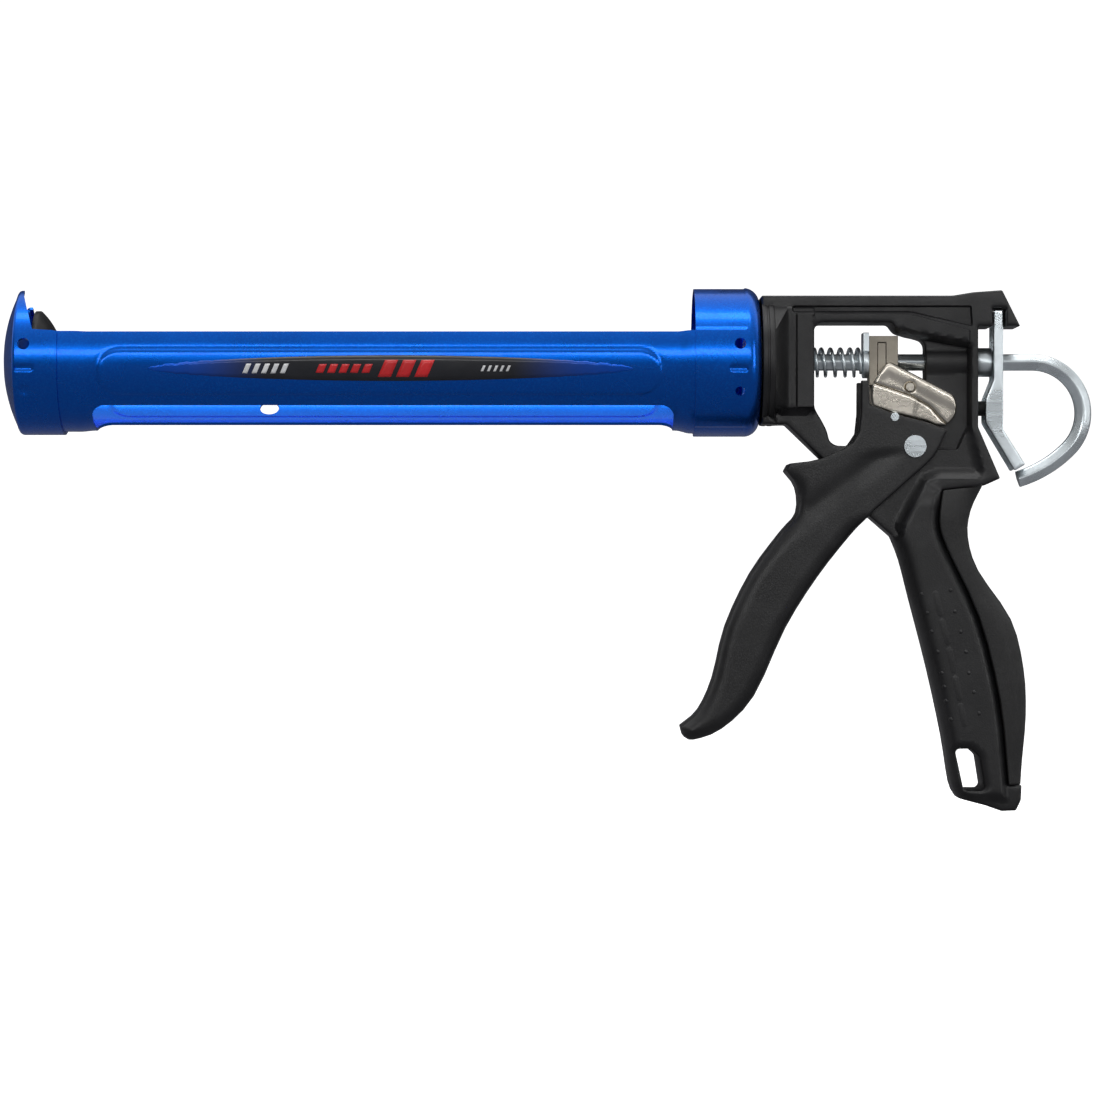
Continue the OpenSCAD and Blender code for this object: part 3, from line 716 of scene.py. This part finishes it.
# %% Paths on the side view
def smooth_path(points, parts=3):
    """A Catmull-Rom curve through points, cut into so many parts between each pair."""
    p = np.asarray(points, float)
    p = np.concatenate([2 * p[:1] - p[1:2], p, 2 * p[-1:] - p[-2:-1]])
    t = np.linspace(0, 1, parts, endpoint=False)[None, :, None]
    a, b, c, d = (p[i:len(p) - 3 + i, None] for i in range(4))
    curve = 0.5 * (2 * b + (c - a) * t + (2 * a - 5 * b + 4 * c - d) * t ** 2
                   + (3 * b - a - 3 * c + d) * t ** 3)
    return np.concatenate([curve.reshape(-1, 2), p[-2:-1]])


def resample(path, step, closed=True):
    """Walks a path and leaves points no further apart than step, keeping its corners."""
    path = np.asarray(path, float)
    after = np.roll(path, -1, 0) if closed else path[1:]
    start = path if closed else path[:-1]
    parts = []
    for a, b in zip(start, after):
        count = max(1, math.ceil(math.dist(a, b) / step))
        parts.append(a + (b - a) * np.linspace(0, 1, count, endpoint=False)[:, None])
    return np.concatenate(parts + ([] if closed else [path[-1:]]))


def ease(path, size=0.7):
    """Replaces each corner of a closed path with a short arc that starts size before it."""
    path = np.asarray(path, float)
    before, after = np.roll(path, 1, 0) - path, np.roll(path, -1, 0) - path
    back, on = np.hypot(*before.T), np.hypot(*after.T)
    a = path + before * (np.minimum(size, back * 0.4) / back)[:, None]
    b = path + after * (np.minimum(size, on * 0.4) / on)[:, None]
    t = np.linspace(0, 1, 5)[None, :, None]
    arc = a[:, None] * (1 - t) ** 2 + 2 * path[:, None] * t * (1 - t) + b[:, None] * t ** 2
    return arc.reshape(-1, 2)


def away(points, path, closed=True):
    """Distance of each point from the nearest part of a path."""
    path = np.asarray(path, float)
    a = path if closed else path[:-1]
    run = (np.roll(path, -1, 0) if closed else path[1:]) - a
    best = np.full(len(points), np.inf)
    for start, vector in zip(a, run):
        out = points - start
        t = np.clip(out @ vector / max(vector @ vector, 1e-12), 0, 1)
        best = np.minimum(best, np.hypot(*(out - t[:, None] * vector).T))
    return best


def inside(points, path):
    """True for each point that a closed path goes round, by counting crossings to its right."""
    path = np.asarray(path, float)
    odd = np.zeros(len(points), bool)
    for a, b in zip(path, np.roll(path, -1, 0)):
        crosses = (a[1] > points[:, 1]) != (b[1] > points[:, 1])
        if crosses.any():
            at = a[0] + (points[:, 1] - a[1]) / (b[1] - a[1] + 1e-15) * (b[0] - a[0])
            odd ^= crosses & (points[:, 0] < at)
    return odd


def depth_in(points, path):
    """Signed distance: more than 0 inside a closed path, less than 0 outside it."""
    return away(points, path) * np.where(inside(points, path), 1, -1)


def beside(path, offset, closed):
    """The path moved sideways by offset at every point."""
    path = np.asarray(path, float)
    along = np.roll(path, -1, 0) - np.roll(path, 1, 0) if closed else np.gradient(path, axis=0)
    along /= np.maximum(np.hypot(*along.T), 1e-9)[:, None]
    return path + offset * np.stack([-along[:, 1], along[:, 0]], 1)


def in_shape(points, rims):
    """True inside the first rim and outside every other one, which are holes."""
    return inside(points, rims[0]) & ~np.any([inside(points, hole) for hole in rims[1:]], 0)


# %% Fill an outline with triangles
def net(rims, creases, rings, step, grid):
    """Points along the rims, on rings inside them, on both sides of every crease, and on an
    even grid between; joined by a Delaunay net that keeps the rims as edges."""
    edge_loops = [resample(r, step) for r in rims]
    rim = np.concatenate(edge_loops)
    extra = []
    for loop in edge_loops:
        for d in rings:
            both = np.concatenate([beside(loop, d, True), beside(loop, -d, True)])
            extra.append(both[away(both, loop) > d * 0.97])
    rows = [beside(resample(path, step * 0.8, closed), side * half, closed)
            for path, half, closed in creases for side in (-1, 1)]
    crease_points = np.concatenate(rows) if rows else np.zeros((0, 2))
    low, high = rim.min(0), rim.max(0)
    gx = np.arange(low[0], high[0], grid)
    gz = np.arange(low[1], high[1], grid * 0.866)
    field = np.stack(np.meshgrid(gx, gz), -1)
    field[1::2, :, 0] += grid / 2
    field = field.reshape(-1, 2)

    def clear(points, gap):
        points = points[in_shape(points, rims)]
        for loop in rims:
            points = points[away(points, loop) > gap]
        return points

    ring_points = clear(np.concatenate(extra), min(rings) * 0.9)
    crease_points = clear(crease_points, 0.2)
    field = clear(field, max(rings) + 0.35 * grid)
    for path, half, closed in creases:
        field = field[away(field, path, closed) > half + 0.4 * grid]
    points = np.concatenate([rim, ring_points, crease_points, field])
    edges, at = [], 0
    for loop in edge_loops:
        k = np.arange(len(loop))
        edges += list(zip((at + k).tolist(), (at + (k + 1) % len(loop)).tolist()))
        at += len(loop)
    flat, _, tris, *_ = delaunay_2d_cdt([Vector(p) for p in points.tolist()], edges, [], 0, 1e-4)
    flat, tris = np.array([tuple(p) for p in flat]), np.array(tris)
    tris = tris[in_shape(flat[tris].mean(1), rims)]
    a, b, c = (flat[tris[:, i]] for i in range(3))
    area = (b[:, 0] - a[:, 0]) * (c[:, 1] - a[:, 1]) - (b[:, 1] - a[:, 1]) * (c[:, 0] - a[:, 0])
    tris[area < 0] = tris[area < 0][:, ::-1]
    return flat, tris[np.abs(area) > 1e-6]


# %% Lift the net to both sides
def relief(name, rims, height, inner=None, creases=(), rings=(0.1, 0.35, 0.8), step=0.9, grid=1.1,
           sharp=38.0):
    """Near side at y = -height, far side at y = +height. Where inner is more than 0 the piece is
    hollow between y = -inner and +inner, and where it is 0 both halves are one."""
    flat, tris = net(rims, creases, rings, step, grid)
    edge = np.min([away(flat, r) for r in rims], 0)
    outer = height(flat, edge)
    n = len(flat)
    hollow = np.minimum(inner(flat) if inner else np.zeros(n), outer - 0.3)
    x, z = flat.T
    points = np.concatenate([np.stack([x, y, z], 1) for y in (-outer, outer, -hollow, hollow)])
    far_in = np.where(hollow > 1e-6, np.arange(n) + 3 * n, np.arange(n) + 2 * n)
    open_tris = tris[(hollow[tris] > 1e-6).any(1)]
    faces = [tris, tris[:, ::-1] + n, open_tris[:, ::-1] + 2 * n, far_in[open_tris]]
    ends = np.concatenate([tris[:, [0, 1]], tris[:, [1, 2]], tris[:, [2, 0]]])
    key = ends.min(1) * n + ends.max(1)
    _, first, count = np.unique(key, return_index=True, return_counts=True)
    a, b = ends[first[count == 1]].T
    faces.append(np.stack([b, a, a + 2 * n, b + 2 * n], 1))
    faces.append(np.stack([a + n, b + n, far_in[b], far_in[a]], 1))
    used = np.unique(np.concatenate([g.ravel() for g in faces]))
    place = np.zeros(4 * n, int)
    place[used] = np.arange(used.size)
    listed = [f for group in faces for f in place[group].tolist()]
    return put_mesh(name, points[used] * MM, listed, sharp)


def rounded(edge, radius):
    """How far a surface has fallen at a distance from its edge, along a quarter circle."""
    left = np.clip(radius - edge, 0, radius)
    return radius - np.sqrt(np.maximum(radius ** 2 - left ** 2, 0))


# %% [markdown]
# ## Head and grip
# One zinc casting holds everything: a round flange for the swivel, a beam over the window
# where the driving parts work, and the core of the grip. The trigger's cheeks and the
# drive lever swing in shallow rooms on either side, and the grip's sides are crowned.

# %% Outlines of the head
GRIP_FRONT = smooth_path([[76.4, -169.4], [73.6, -163.5], [70.6, -144.9], [65, -119],
                          [58.1, -92.2], [54.2, -77], [50.6, -67.6]])
PAD_LINE = smooth_path([[70, -50], [68.6, -62], [71.4, -72.3], [83.9, -99.3], [92, -131.6],
                        [95.4, -164]])
PAD_BACK = smooth_path([[86.2, -48.2], [81.5, -57.9], [80.4, -68], [84.4, -81], [97.1, -100],
                        [102, -119], [102.9, -137], [101.4, -155], [100.8, -164]])
HEAD_TOP = [[0, 25.4], [74, 25.4], [81.9, 26.7], [93.2, 27.5], [100.2, 13.5], [94.7, 13.5],
            [94.7, 20.7], [89.6, 20.7], [89.6, 13.5], [83.9, 13.5], [83.9, -25.5],
            [92.4, -45.4], [86.2, -48.2]]
FOOT = [[100.7, -164.1], [100.4, -170], [98.5, -174], [92.8, -174.2], [86.6, -172]]
UNDER = [[42.1, -60.2], [36, -53.4], [31.6, -47], [23.4, -37.6], [9.75, -24.4], [0, -24.4]]
HEAD_RIM = ease(np.concatenate([HEAD_TOP, PAD_LINE, FOOT, GRIP_FRONT, UNDER]), 0.6)
WINDOW = ease([[22.6, 15], [50.3, 15], [52.5, 11.5], [62.5, 8.3], [63.8, 6.3], [63.8, -22.5],
               [50, -26.2], [44, -29.6], [34, -32.8], [28.9, -32.6], [26.5, -31],
               [25.4, -26.7], [23.4, -22.8],
               [20.3, -17.7], [20.3, 12.7]], 1.2)
HANG_SLOT = ease([[75.9, -150], [81, -150], [84.6, -153.4], [86.4, -164.9], [85.2, -166.3],
                  [79.2, -166.3], [77.9, -165.2], [74.9, -151.2]], 0.8)
CHEEK_ROOM = np.array([[5, -20], [9, -27], [20, -38], [30, -50], [40, -62.5], [48, -70],
                       [52.6, -67.4], [53.2, -61.6], [57.4, -53.4], [62.6, -45.2], [69, -43],
                       [84, -43], [79.6, -26], [79.6, 5.6], [58, 9.7], [46, 12], [30, -20]])
LEVER_ROOM = np.array([[44, 8], [58, 9.7], [80.3, 5.6], [80.3, -25], [76, -34], [59, -34],
                       [44, -30]])
GRIP_SIDE = np.concatenate([[[62.8, -45], [70, -50]], PAD_LINE, [[96, -171]], GRIP_FRONT,
                            [[53.4, -61.6], [57.6, -53.4]]])
BEAM_RECESS = ease([[12, 21.2], [81, 21.2], [81.5, 13.6], [57.5, 19.1], [12, 19.1]], 0.8)
WINDOW_RIM = ease([[13.5, 18.4], [57.2, 18.4], [80.5, 12], [80.5, 7], [62.8, 7], [50, 14], [21, 14],
                   [21, -18], [13.5, -18]], 0.8)


# %% Cast the head
def head_height(flat, edge):
    """Half thickness: 12 in the core; the neck swells towards the flange; the grip's sides stand
    out to 14.5 and round off over 6 at the finger side; rooms and the beam's channel are cut in."""
    x, z = flat.T
    swell = np.minimum(np.sqrt(np.maximum(24.3 ** 2 - z ** 2, 1)), 13 + sunk(x, 4, 11.5, 9))
    h = np.where(x < 20.3, np.maximum(12, swell), 12.0)
    grip = smooth_step(depth_in(flat, GRIP_SIDE), 0, 3.5)
    front = away(flat, GRIP_FRONT, False)
    h = h + 2.5 * grip * smooth_step(-z, 45, 56)
    h = h - rounded(front, 6.0) * smooth_step(-z, 58, 72) - sunk(away(flat, HANG_SLOT), 0, 2.2, 1.2)
    h = h - 1.5 * smooth_step(depth_in(flat, BEAM_RECESS), -0.35, 0.35)
    h = h + 0.9 * smooth_step(depth_in(flat, WINDOW_RIM), -0.35, 0.35)
    h = h + (np.minimum(h, 9.3) - h) * smooth_step(depth_in(flat, CHEEK_ROOM), -2.4, 0.2)
    web = np.maximum(5.5, np.sqrt(np.maximum(49 - z ** 2, 0)))
    room = smooth_step(depth_in(flat, LEVER_ROOM), -0.3, 0.3)
    h = h + (np.minimum(web, h) - h) * room
    return h - rounded(edge, 1.1) * (1 - 0.6 * grip)


def head_hollow(flat):
    """Round bores along the rod: half width sqrt(r^2 - z^2), with r of 8 in the neck for the swivel
    tube, 3.75 in the web for the rod, and 5 at the back for the bush."""
    x, z = flat.T
    r = np.select([x < 30, x < 76], [8.0, 3.75], 5.0) * (x < 88)
    return np.sqrt(np.maximum(r ** 2 - z ** 2, 0))


BORES = [(np.array([[x0, side * share * r], [x1, side * share * r]]), 0.06, False)
         for x0, x1, r in ((0, 20.3, 8.0), (63.9, 75.9, 3.75), (76.1, 83.8, 5.0))
         for side in (-1, 1) for share in (1, 0.9, 0.7, 0.4)]
HEAD_CREASES = BORES + [(CHEEK_ROOM, 1.2, True), (LEVER_ROOM, 0.3, True),
                        (BEAM_RECESS, 0.35, True), (WINDOW_RIM, 0.35, True)]
head = relief("head_and_grip", [HEAD_RIM, WINDOW, HANG_SLOT], head_height, head_hollow,
              creases=HEAD_CREASES, rings=(0.09, 0.32, 0.68, 1.1, 2.4))
dress(head, BLACK, "head", "black_moulding", "head_casting")


# %% Things turned about the rod
def turned(name, profile, steps=128, sharp=38.0):
    """Carries a closed profile of (X, radius), whose last point is its first, round the rod."""
    profile = np.asarray(profile, float)
    angle = np.linspace(0, 2 * math.pi, steps, endpoint=False)
    x, r = profile[:, :1], profile[:, 1:]
    points = np.stack(np.broadcast_arrays(x, -r * np.sin(angle), r * np.cos(angle)), -1)
    faces = grid_faces(len(profile) - 1, steps, wrap_rows=True, wrap_columns=True, flip=True)
    return put_mesh(name, points[:-1].reshape(-1, 3) * MM, faces, sharp)


flange = turned("swivel_flange", [[0.1, 8.2], [0, 8.4], [0, 24.2], [0.15, 24.7], [0.6, 24.9],
                                  [1.8, 24.9], [2.0, 24.4], [2.6, 24.4], [2.8, 24.9],
                                  [4.3, 24.9], [4.8, 24.6],
                                  [5.0, 24.1], [5.0, 8.4], [4.9, 8.2], [0.1, 8.2]])
dress(flange, BLACK, "head", "black_moulding")

# %% [markdown]
# ## Palm pad
# The back of the grip is a separate moulding that fills the palm. It is a crowned relief:
# its thickness falls along a large arc towards the back, and a fine groove parts it from
# the grip.

# %% Mould the palm pad
def pad_height(flat, edge):
    """14.4 at the groove, less a quarter circle of radius 8 towards the back edge."""
    back = away(flat, PAD_BACK, False)
    top = smooth_step(-flat[:, 1], 48, 62)
    return 12.2 + 2.2 * top - rounded(back, 8.0) - rounded(edge, 0.6)


PAD_RIM = ease(np.concatenate([beside(PAD_LINE, 0.12, False), PAD_BACK[::-1]]), 0.5)
pad = relief("palm_pad_moulding", [PAD_RIM], pad_height, rings=(0.08, 0.3, 0.6, 1.6, 3.2, 5.2))
dress(pad, PAD, "head", "black_rubber", "palm_pad")

# %% [markdown]
# Small round studs on the grip's sides keep the hand from slipping. They are repeated many
# times, so each is a low dome of a few dozen faces, set on the casting at the height that
# the casting has there.

# %% Stud the grip
STUDS = np.array([[72.9, -88.7], [74.5, -96.9], [76.8, -104.7], [78.8, -112.5], [80.0, -120.7],
                  [81.9, -128.1], [83.9, -136.3], [61.6, -90.3], [63.7, -97.5], [65.5, -104.7],
                  [67.9, -112.5], [69.4, -120.7], [70.4, -126], [71.0, -131.6], [72.9, -138.6]])
BARS_ON_GRIP = np.array([[[67.0, -90.0], [68.8, -97.6]], [[69.6, -100.8], [71.6, -108.6]],
                         [[72.4, -111.8], [74.0, -119.6]], [[74.7, -122.8], [76.2, -130.4]],
                         [[76.8, -133.4], [78.2, -140.4]]])


def dome_on_grip(name, ends, radius, rise):
    """Each dome is round, or drawn out between two ends: rings of falling radius and growing
    height, (1 - t^2) of the rise at t of the radius, with a flat top and a closed base; on both
    sides of the grip."""
    around, shrinks = 16, (1.0, 0.85, 0.6, 0.3)
    turn = np.linspace(0, 2 * math.pi, around, endpoint=False)
    points, faces = [], []
    for a, b in ends:
        along = (b - a) / max(math.dist(a, b), 1e-9)
        for side in (-1, 1):
            rings = []
            for t in shrinks:
                circle = radius * t * np.stack([np.cos(turn), np.sin(turn)], 1)
                circle = circle + np.where(((circle @ along) > 0)[:, None], b, a)
                deep = head_height(circle, np.full(len(circle), 9.0)) - 0.15 + rise * (1 - t * t)
                rings.append(np.stack([circle[:, 0], side * deep, circle[:, 1]], 1))
            start = around * len(points)
            points += rings
            grid = grid_faces(len(shrinks), around, wrap_columns=True, flip=side < 0) + start
            base = start + np.arange(around)
            top = base + around * (len(shrinks) - 1)
            faces += grid.tolist() + [top[::-side].tolist(), base[::side].tolist()]
    made = put_mesh(name, np.concatenate(points) * MM, faces, 60)
    return dress(made, BLACK, "head", "black_moulding")


dome_on_grip("grip_studs", np.stack([STUDS, STUDS], 1), 0.95, 0.55)
dome_on_grip("grip_bars", BARS_ON_GRIP, 1.9, 0.28)
# %% [markdown]
# ## Trigger
# The trigger is a casting too. Its upper part forks into two cheeks round the head, and
# its lever runs down to a curled tip, with a large radius all round for the fingers. The
# fork is hollow between the cheeks; below it both halves close up.

# %% Outlines of the trigger
TRIGGER_FRONT = smooth_path([[9.4, -42.3], [13.7, -48.6], [14, -58.5], [8, -65.8], [-3.9, -82.1],
                             [-13.7, -102.8], [-18.7, -123], [-24.4, -135.4], [-31.4, -141.6]])
TRIGGER_BACK = smooth_path([[-30.4, -145.3], [-26.4, -146.8], [-15.2, -142.5], [-2.7, -129.7],
                            [9.4, -103.5], [21.8, -83.7], [34.7, -67.3], [41.7, -59.9]])
CHEEK_BACK = smooth_path([[43.3, -57.9], [56.6, -46.2], [66.5, -37], [71.8, -26.7]])
CHEEK_TOP = [[64.4, -23.8], [50.3, -20.1], [42, -16.8], [41.5, -7.5], [38.5, -7.5], [38.4, -20],
             [37.6, -27.6], [34.8, -31.8], [30.8, -34.5], [23.4, -37.6], [18.3, -38.8],
             [10.9, -39.6]]
TRIGGER_RIM = ease(np.concatenate([TRIGGER_FRONT, TRIGGER_BACK, CHEEK_BACK, CHEEK_TOP]), 0.5)
PIVOT, PIN_AT = (59.3, -33.0), (57.7, -9.9)
TRIGGER_HALF, CHEEK = 12.5, 2.7


def arc_path(centre, radius, turn):
    """Points on a circle on the side view, at angles in radians."""
    return np.asarray(centre) + radius * np.stack([np.cos(turn), np.sin(turn)], 1)


CAVITY = np.concatenate([arc_path(PIVOT, 34, np.radians(np.arange(100, 262, 6))),
                         [[43, -68.4], [80, -70], [80, 0]]])
FRONT_ROOM = np.array([[5, -15], [9.2, -25.1], [31, -47], [40, -47], [40, -15]])
LOW_ROOM = np.array([[34.2, -40], [34.2, -58], [43, -68.4], [70, -70], [70, -40]])


# %% Cast the trigger
def trigger_height(flat, edge):
    """12.5, less a quarter circle whose radius grows from 0.9 on the cheeks to 5.2 on the lever,
    and less a slanted hollow where the cheeks run out into the lever."""
    x, z = flat.T
    along = (x - 33) * 0.6 + (-35 - z) * 0.8
    handle = smooth_step(-along - (x - 41) * 0.5 + 2, -4, 8) * smooth_step(-z, 40, 52)
    handle = np.maximum(handle, smooth_step(-z, 58, 66))
    across = (x - 42) * 0.6 - (z + 42) * 0.8
    hollow = np.exp(-(across + 1.5) ** 2 / 14) * smooth_step(-z, 33, 38) * smooth_step(edge, 0, 4)
    fall = rounded(edge, 0.9) * (1 - handle) + rounded(edge, 5.2) * handle
    return TRIGGER_HALF - fall - 0.9 * hollow


def trigger_hollow(flat):
    """9.8 between the cheeks, and nothing below them."""
    open_there = inside(flat, CAVITY) | inside(flat, FRONT_ROOM) | inside(flat, LOW_ROOM)
    return np.where(open_there, TRIGGER_HALF - CHEEK, 0.0)


trigger = relief("trigger_casting", [TRIGGER_RIM], trigger_height, trigger_hollow,
                 creases=[(room, 0.15, True) for room in (CAVITY, FRONT_ROOM, LOW_ROOM)],
                 rings=(0.09, 0.32, 0.68, 1.1, 2.3, 3.8, 5.2))
dress(trigger, BLACK, "trigger", "black_moulding", "trigger")

# %% [markdown]
# ## Drive lever and its stop
# Two stamped steel layers work between the cheeks. Both are plated in the same warm nickel,
# and the upper one has a rolled top edge. Each is a pair of plates, one on either side of
# the drive block.

# %% Stamp the lever
LEVER = ease([[46, -9.2], [43.3, -8.4], [48, -1], [50.3, -0.2], [74.9, -13.1], [76, -17.4],
              [75.3, -21.3], [72.2, -24.6], [70.2, -22.8], [65.5, -17.4], [57.7, -13.1]], 1.6)
STOP = ease([[43.3, -8.4], [46, -9.2], [57.7, -13.1], [65.5, -17.4], [70.2, -22.8],
             [72.2, -24.6], [67.9, -24.8], [64.4, -23.2], [50.3, -19.7], [43.3, -17.4],
             [42.6, -14.2]], 1.0)
STOP_FOLD = np.array([[57.5, -12.5], [63, -17.5], [68, -25.5]])
PIN_HOLE = arc_path(PIN_AT, 1.65, np.linspace(0, 2 * math.pi, 24, endpoint=False))
LEVER_IN, LEVER_OUT = 6.0, 9.3


def lever_height(flat, edge):
    """9.3 with a rolled edge of radius 1.3, and a shallow bowl along the middle."""
    top = away(flat, [[46, -2], [49, 0], [76, -14]], False)
    return LEVER_OUT - rounded(edge, 1.3) - 0.35 * smooth_step(top, 2.5, 5.5)


def lever_gap(flat):
    """The drive block's room between the two plates of a pair."""
    return np.full(len(flat), LEVER_IN)


lever = relief("lever_plates", [LEVER, PIN_HOLE], lever_height, lever_gap,
               rings=(0.1, 0.38, 0.8, 1.3), step=0.5, grid=0.7)
dress(lever, NICKEL, "trigger", "warm_nickel", "drive_lever")


def stop_height(flat, edge):
    """8.7 with a rolled edge, and one diagonal fold."""
    fold = 0.5 * smooth_step((flat[:, 0] - 60.5) * 0.82 - (flat[:, 1] + 15.5) * 0.2, -0.5, 0.5)
    return LEVER_OUT - 0.6 - rounded(edge, 0.8) - fold


stop = relief("lever_stop_plates", [STOP], stop_height, lever_gap,
              creases=[(STOP_FOLD, 0.3, False)], rings=(0.1, 0.35, 0.8), step=0.5, grid=0.7)
dress(stop, NICKEL, "trigger", "warm_nickel", "lever_stop")

# %% [markdown]
# ## Release plate
# Pressing this plate lets the rod slide back. It is a strip folded into a channel: a web
# that the rod goes through, and two side walls that widen where the thumb pushes.

# %% Fold the release plate
RELEASE = ease([[90.2, 20.1], [94, 20.1], [94, -26.3], [102.6, -39.9], [98.4, -42.4],
                [87.1, -23.6], [87.1, -14.6], [90.2, -6.8]], 0.8)
RELEASE_WEB = np.array([[91.8, 21], [95, 21], [95, -26.1], [103.4, -39.9], [100.8, -41],
                        [92.2, -26.8]])


def release_height(flat, edge):
    """8 with broken edges."""
    return 8.0 - rounded(edge, 0.5)


def release_hollow(flat):
    """Open between the walls, except in the web."""
    return np.where(depth_in(flat, RELEASE_WEB) > 0, 0.0, 6.5)


release = relief("release_channel", [RELEASE], release_height, release_hollow,
                 creases=[(RELEASE_WEB, 0.1, True)], rings=(0.06, 0.22, 0.5), step=0.7, grid=1.0)
dress(release, ZINC, "release", "zinc_steel", "release_plate")

# %% [markdown]
# ## The rod and the springs
# The push rod is hexagonal bar, straight through the head and then bent into a hook for a
# ladder rung. The springs are round wire. Both are a section carried along a path: at each
# step of the path the section is placed square to the way it goes.

# %% Carry a section along a path
def swept(name, path, section, normal, sharp=28.0):
    """path (n, 3), normal (n, 3) and section (n, m, 2): each point is the path's, plus the
    section's first number along the normal and its second along the direction square to both."""
    along = np.gradient(path, axis=0)
    along /= np.linalg.norm(along, axis=1)[:, None]
    normal = normal - (normal * along).sum(1)[:, None] * along
    normal /= np.linalg.norm(normal, axis=1)[:, None]
    side = np.cross(along, normal)
    points = path[:, None] + section[..., :1] * normal[:, None] + section[..., 1:] * side[:, None]
    rows, columns = section.shape[:2]
    faces = grid_faces(rows, columns, wrap_columns=True, flip=True).tolist()
    ends = np.arange(rows * columns).reshape(rows, columns)[[0, -1]]
    faces += [ends[0][::-1].tolist(), ends[1].tolist()]
    return put_mesh(name, points.reshape(-1, 3) * MM, faces, sharp)


# %% Bend the push rod
ROD_FLAT, ROD_END, HOOK_R, TAIL_R = 3.175, 106.1, 19.8, 47.0
ROD_FRONT, HEX_FRONT = -278.5, -269.9


def push_rod():
    """Straight to X 106, then an arc of 135 degrees and a flatter one of 28. The section is a
    circle on the threaded end and a hexagon with eased corners on the rest."""
    straight = np.concatenate([[ROD_FRONT, ROD_FRONT + 0.4, HEX_FRONT - 0.02, HEX_FRONT],
                               np.linspace(HEX_FRONT + 0.3, ROD_END, 90)])
    first = np.radians(np.linspace(0, 135, 64))[1:]
    second = np.radians(np.linspace(0, 28, 24))[1:]
    x1, z1 = ROD_END + HOOK_R * np.sin(first), -HOOK_R + HOOK_R * np.cos(first)
    bent = first[-1] + second
    x2 = x1[-1] + TAIL_R * (np.sin(bent) - math.sin(first[-1]))
    z2 = z1[-1] + TAIL_R * (np.cos(bent) - math.cos(first[-1]))
    x = np.concatenate([straight, x1, x2, x2[-1:] + 0.2 * math.cos(bent[-1])])
    z = np.concatenate([0 * straight, z1, z2, z2[-1:] - 0.2 * math.sin(bent[-1])])
    lean = np.concatenate([0 * straight, first, bent, bent[-1:]])
    path = np.stack([x, 0 * x, z], 1)
    normal = np.stack([np.sin(lean), 0 * x, np.cos(lean)], 1)
    turn = np.linspace(0, 2 * math.pi, 48, endpoint=False)
    fold = (turn + math.radians(30)) % math.radians(60) - math.radians(30)
    hexagon = np.minimum(ROD_FLAT / np.cos(fold), 3.53)
    radius = np.where((x < HEX_FRONT - 0.01)[:, None], 3.0, hexagon[None])
    radius[[0, -1]] -= 0.35
    section = np.stack([radius * np.cos(turn), radius * np.sin(turn)], -1)
    return swept("push_rod_bar", path, section, normal, 24)


dress(push_rod(), ZINC, "rod", "zinc_steel", "push_rod")


# %% Wind the springs
def spring(name, start, end, mean_r, wire_r, turns):
    """A helix along X whose first and last turns lie almost flat, carrying a round section."""
    t = np.linspace(0, 1, int(turns * 36))
    pitch = smooth_step(t, 0, 1) * 0.35 + 0.65 * t
    x = start + wire_r + (end - start - 2 * wire_r) * pitch
    angle = 2 * math.pi * turns * t
    path = np.stack([x, -mean_r * np.sin(angle), mean_r * np.cos(angle)], 1)
    normal = np.stack([0 * x, -np.sin(angle), np.cos(angle)], 1)
    turn = np.linspace(0, 2 * math.pi, 14, endpoint=False)
    section = np.repeat((wire_r * np.stack([np.cos(turn), np.sin(turn)], 1))[None], len(t), 0)
    return swept(name, path, section, normal, 60)


return_spring = spring("return_spring_wire", 20.45, 39.7, 5.3, 0.65, 5.4)
dress(return_spring, ZINC, "head", "zinc_steel", "return_spring")
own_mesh(return_spring)
release_spring = spring("release_spring_wire", 85.1, 92.05, 4.35, 0.35, 5)
dress(release_spring, ZINC, "head", "zinc_steel", "release_spring")
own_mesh(release_spring)
# %% [markdown]
# ## Solids that are already right
# Nuts, washers, pins and turned bushes come from the measured model as they are. They keep
# their meshes; we give each a finish and let two modifiers work on top: Weld joins the
# loose triangles, and Bevel breaks the sharp edges, which is what catches the light.

# %% Dress the measured solids
def dress_node(node, material):
    """Puts a finish and a fine edge break on a solid of the frame."""
    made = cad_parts[node]
    made.data.materials.clear()
    made.data.materials.append(material)
    weld = made.modifiers.new("join", "WELD")
    weld.merge_threshold = 0.002 * MM
    break_edges(made, 0.25, 40)
    return node


DRESSED = {ZINC: ("swivel_tube", "swivel_nut", "swivel_washer", "pivot_rivet", "pivot_cap",
                  "rear_bush", "pusher_nut", "pusher_washer", "spring_seat", "coupling_pin"),
           NICKEL: ("lever_pin",), GREY: ("drive_block", "gripping_plate"),
           SOOT: ("pusher_plate",), PAD: ("release_stop",)}
for material, nodes in DRESSED.items():
    print(material.name, [dress_node(node, material) for node in nodes])
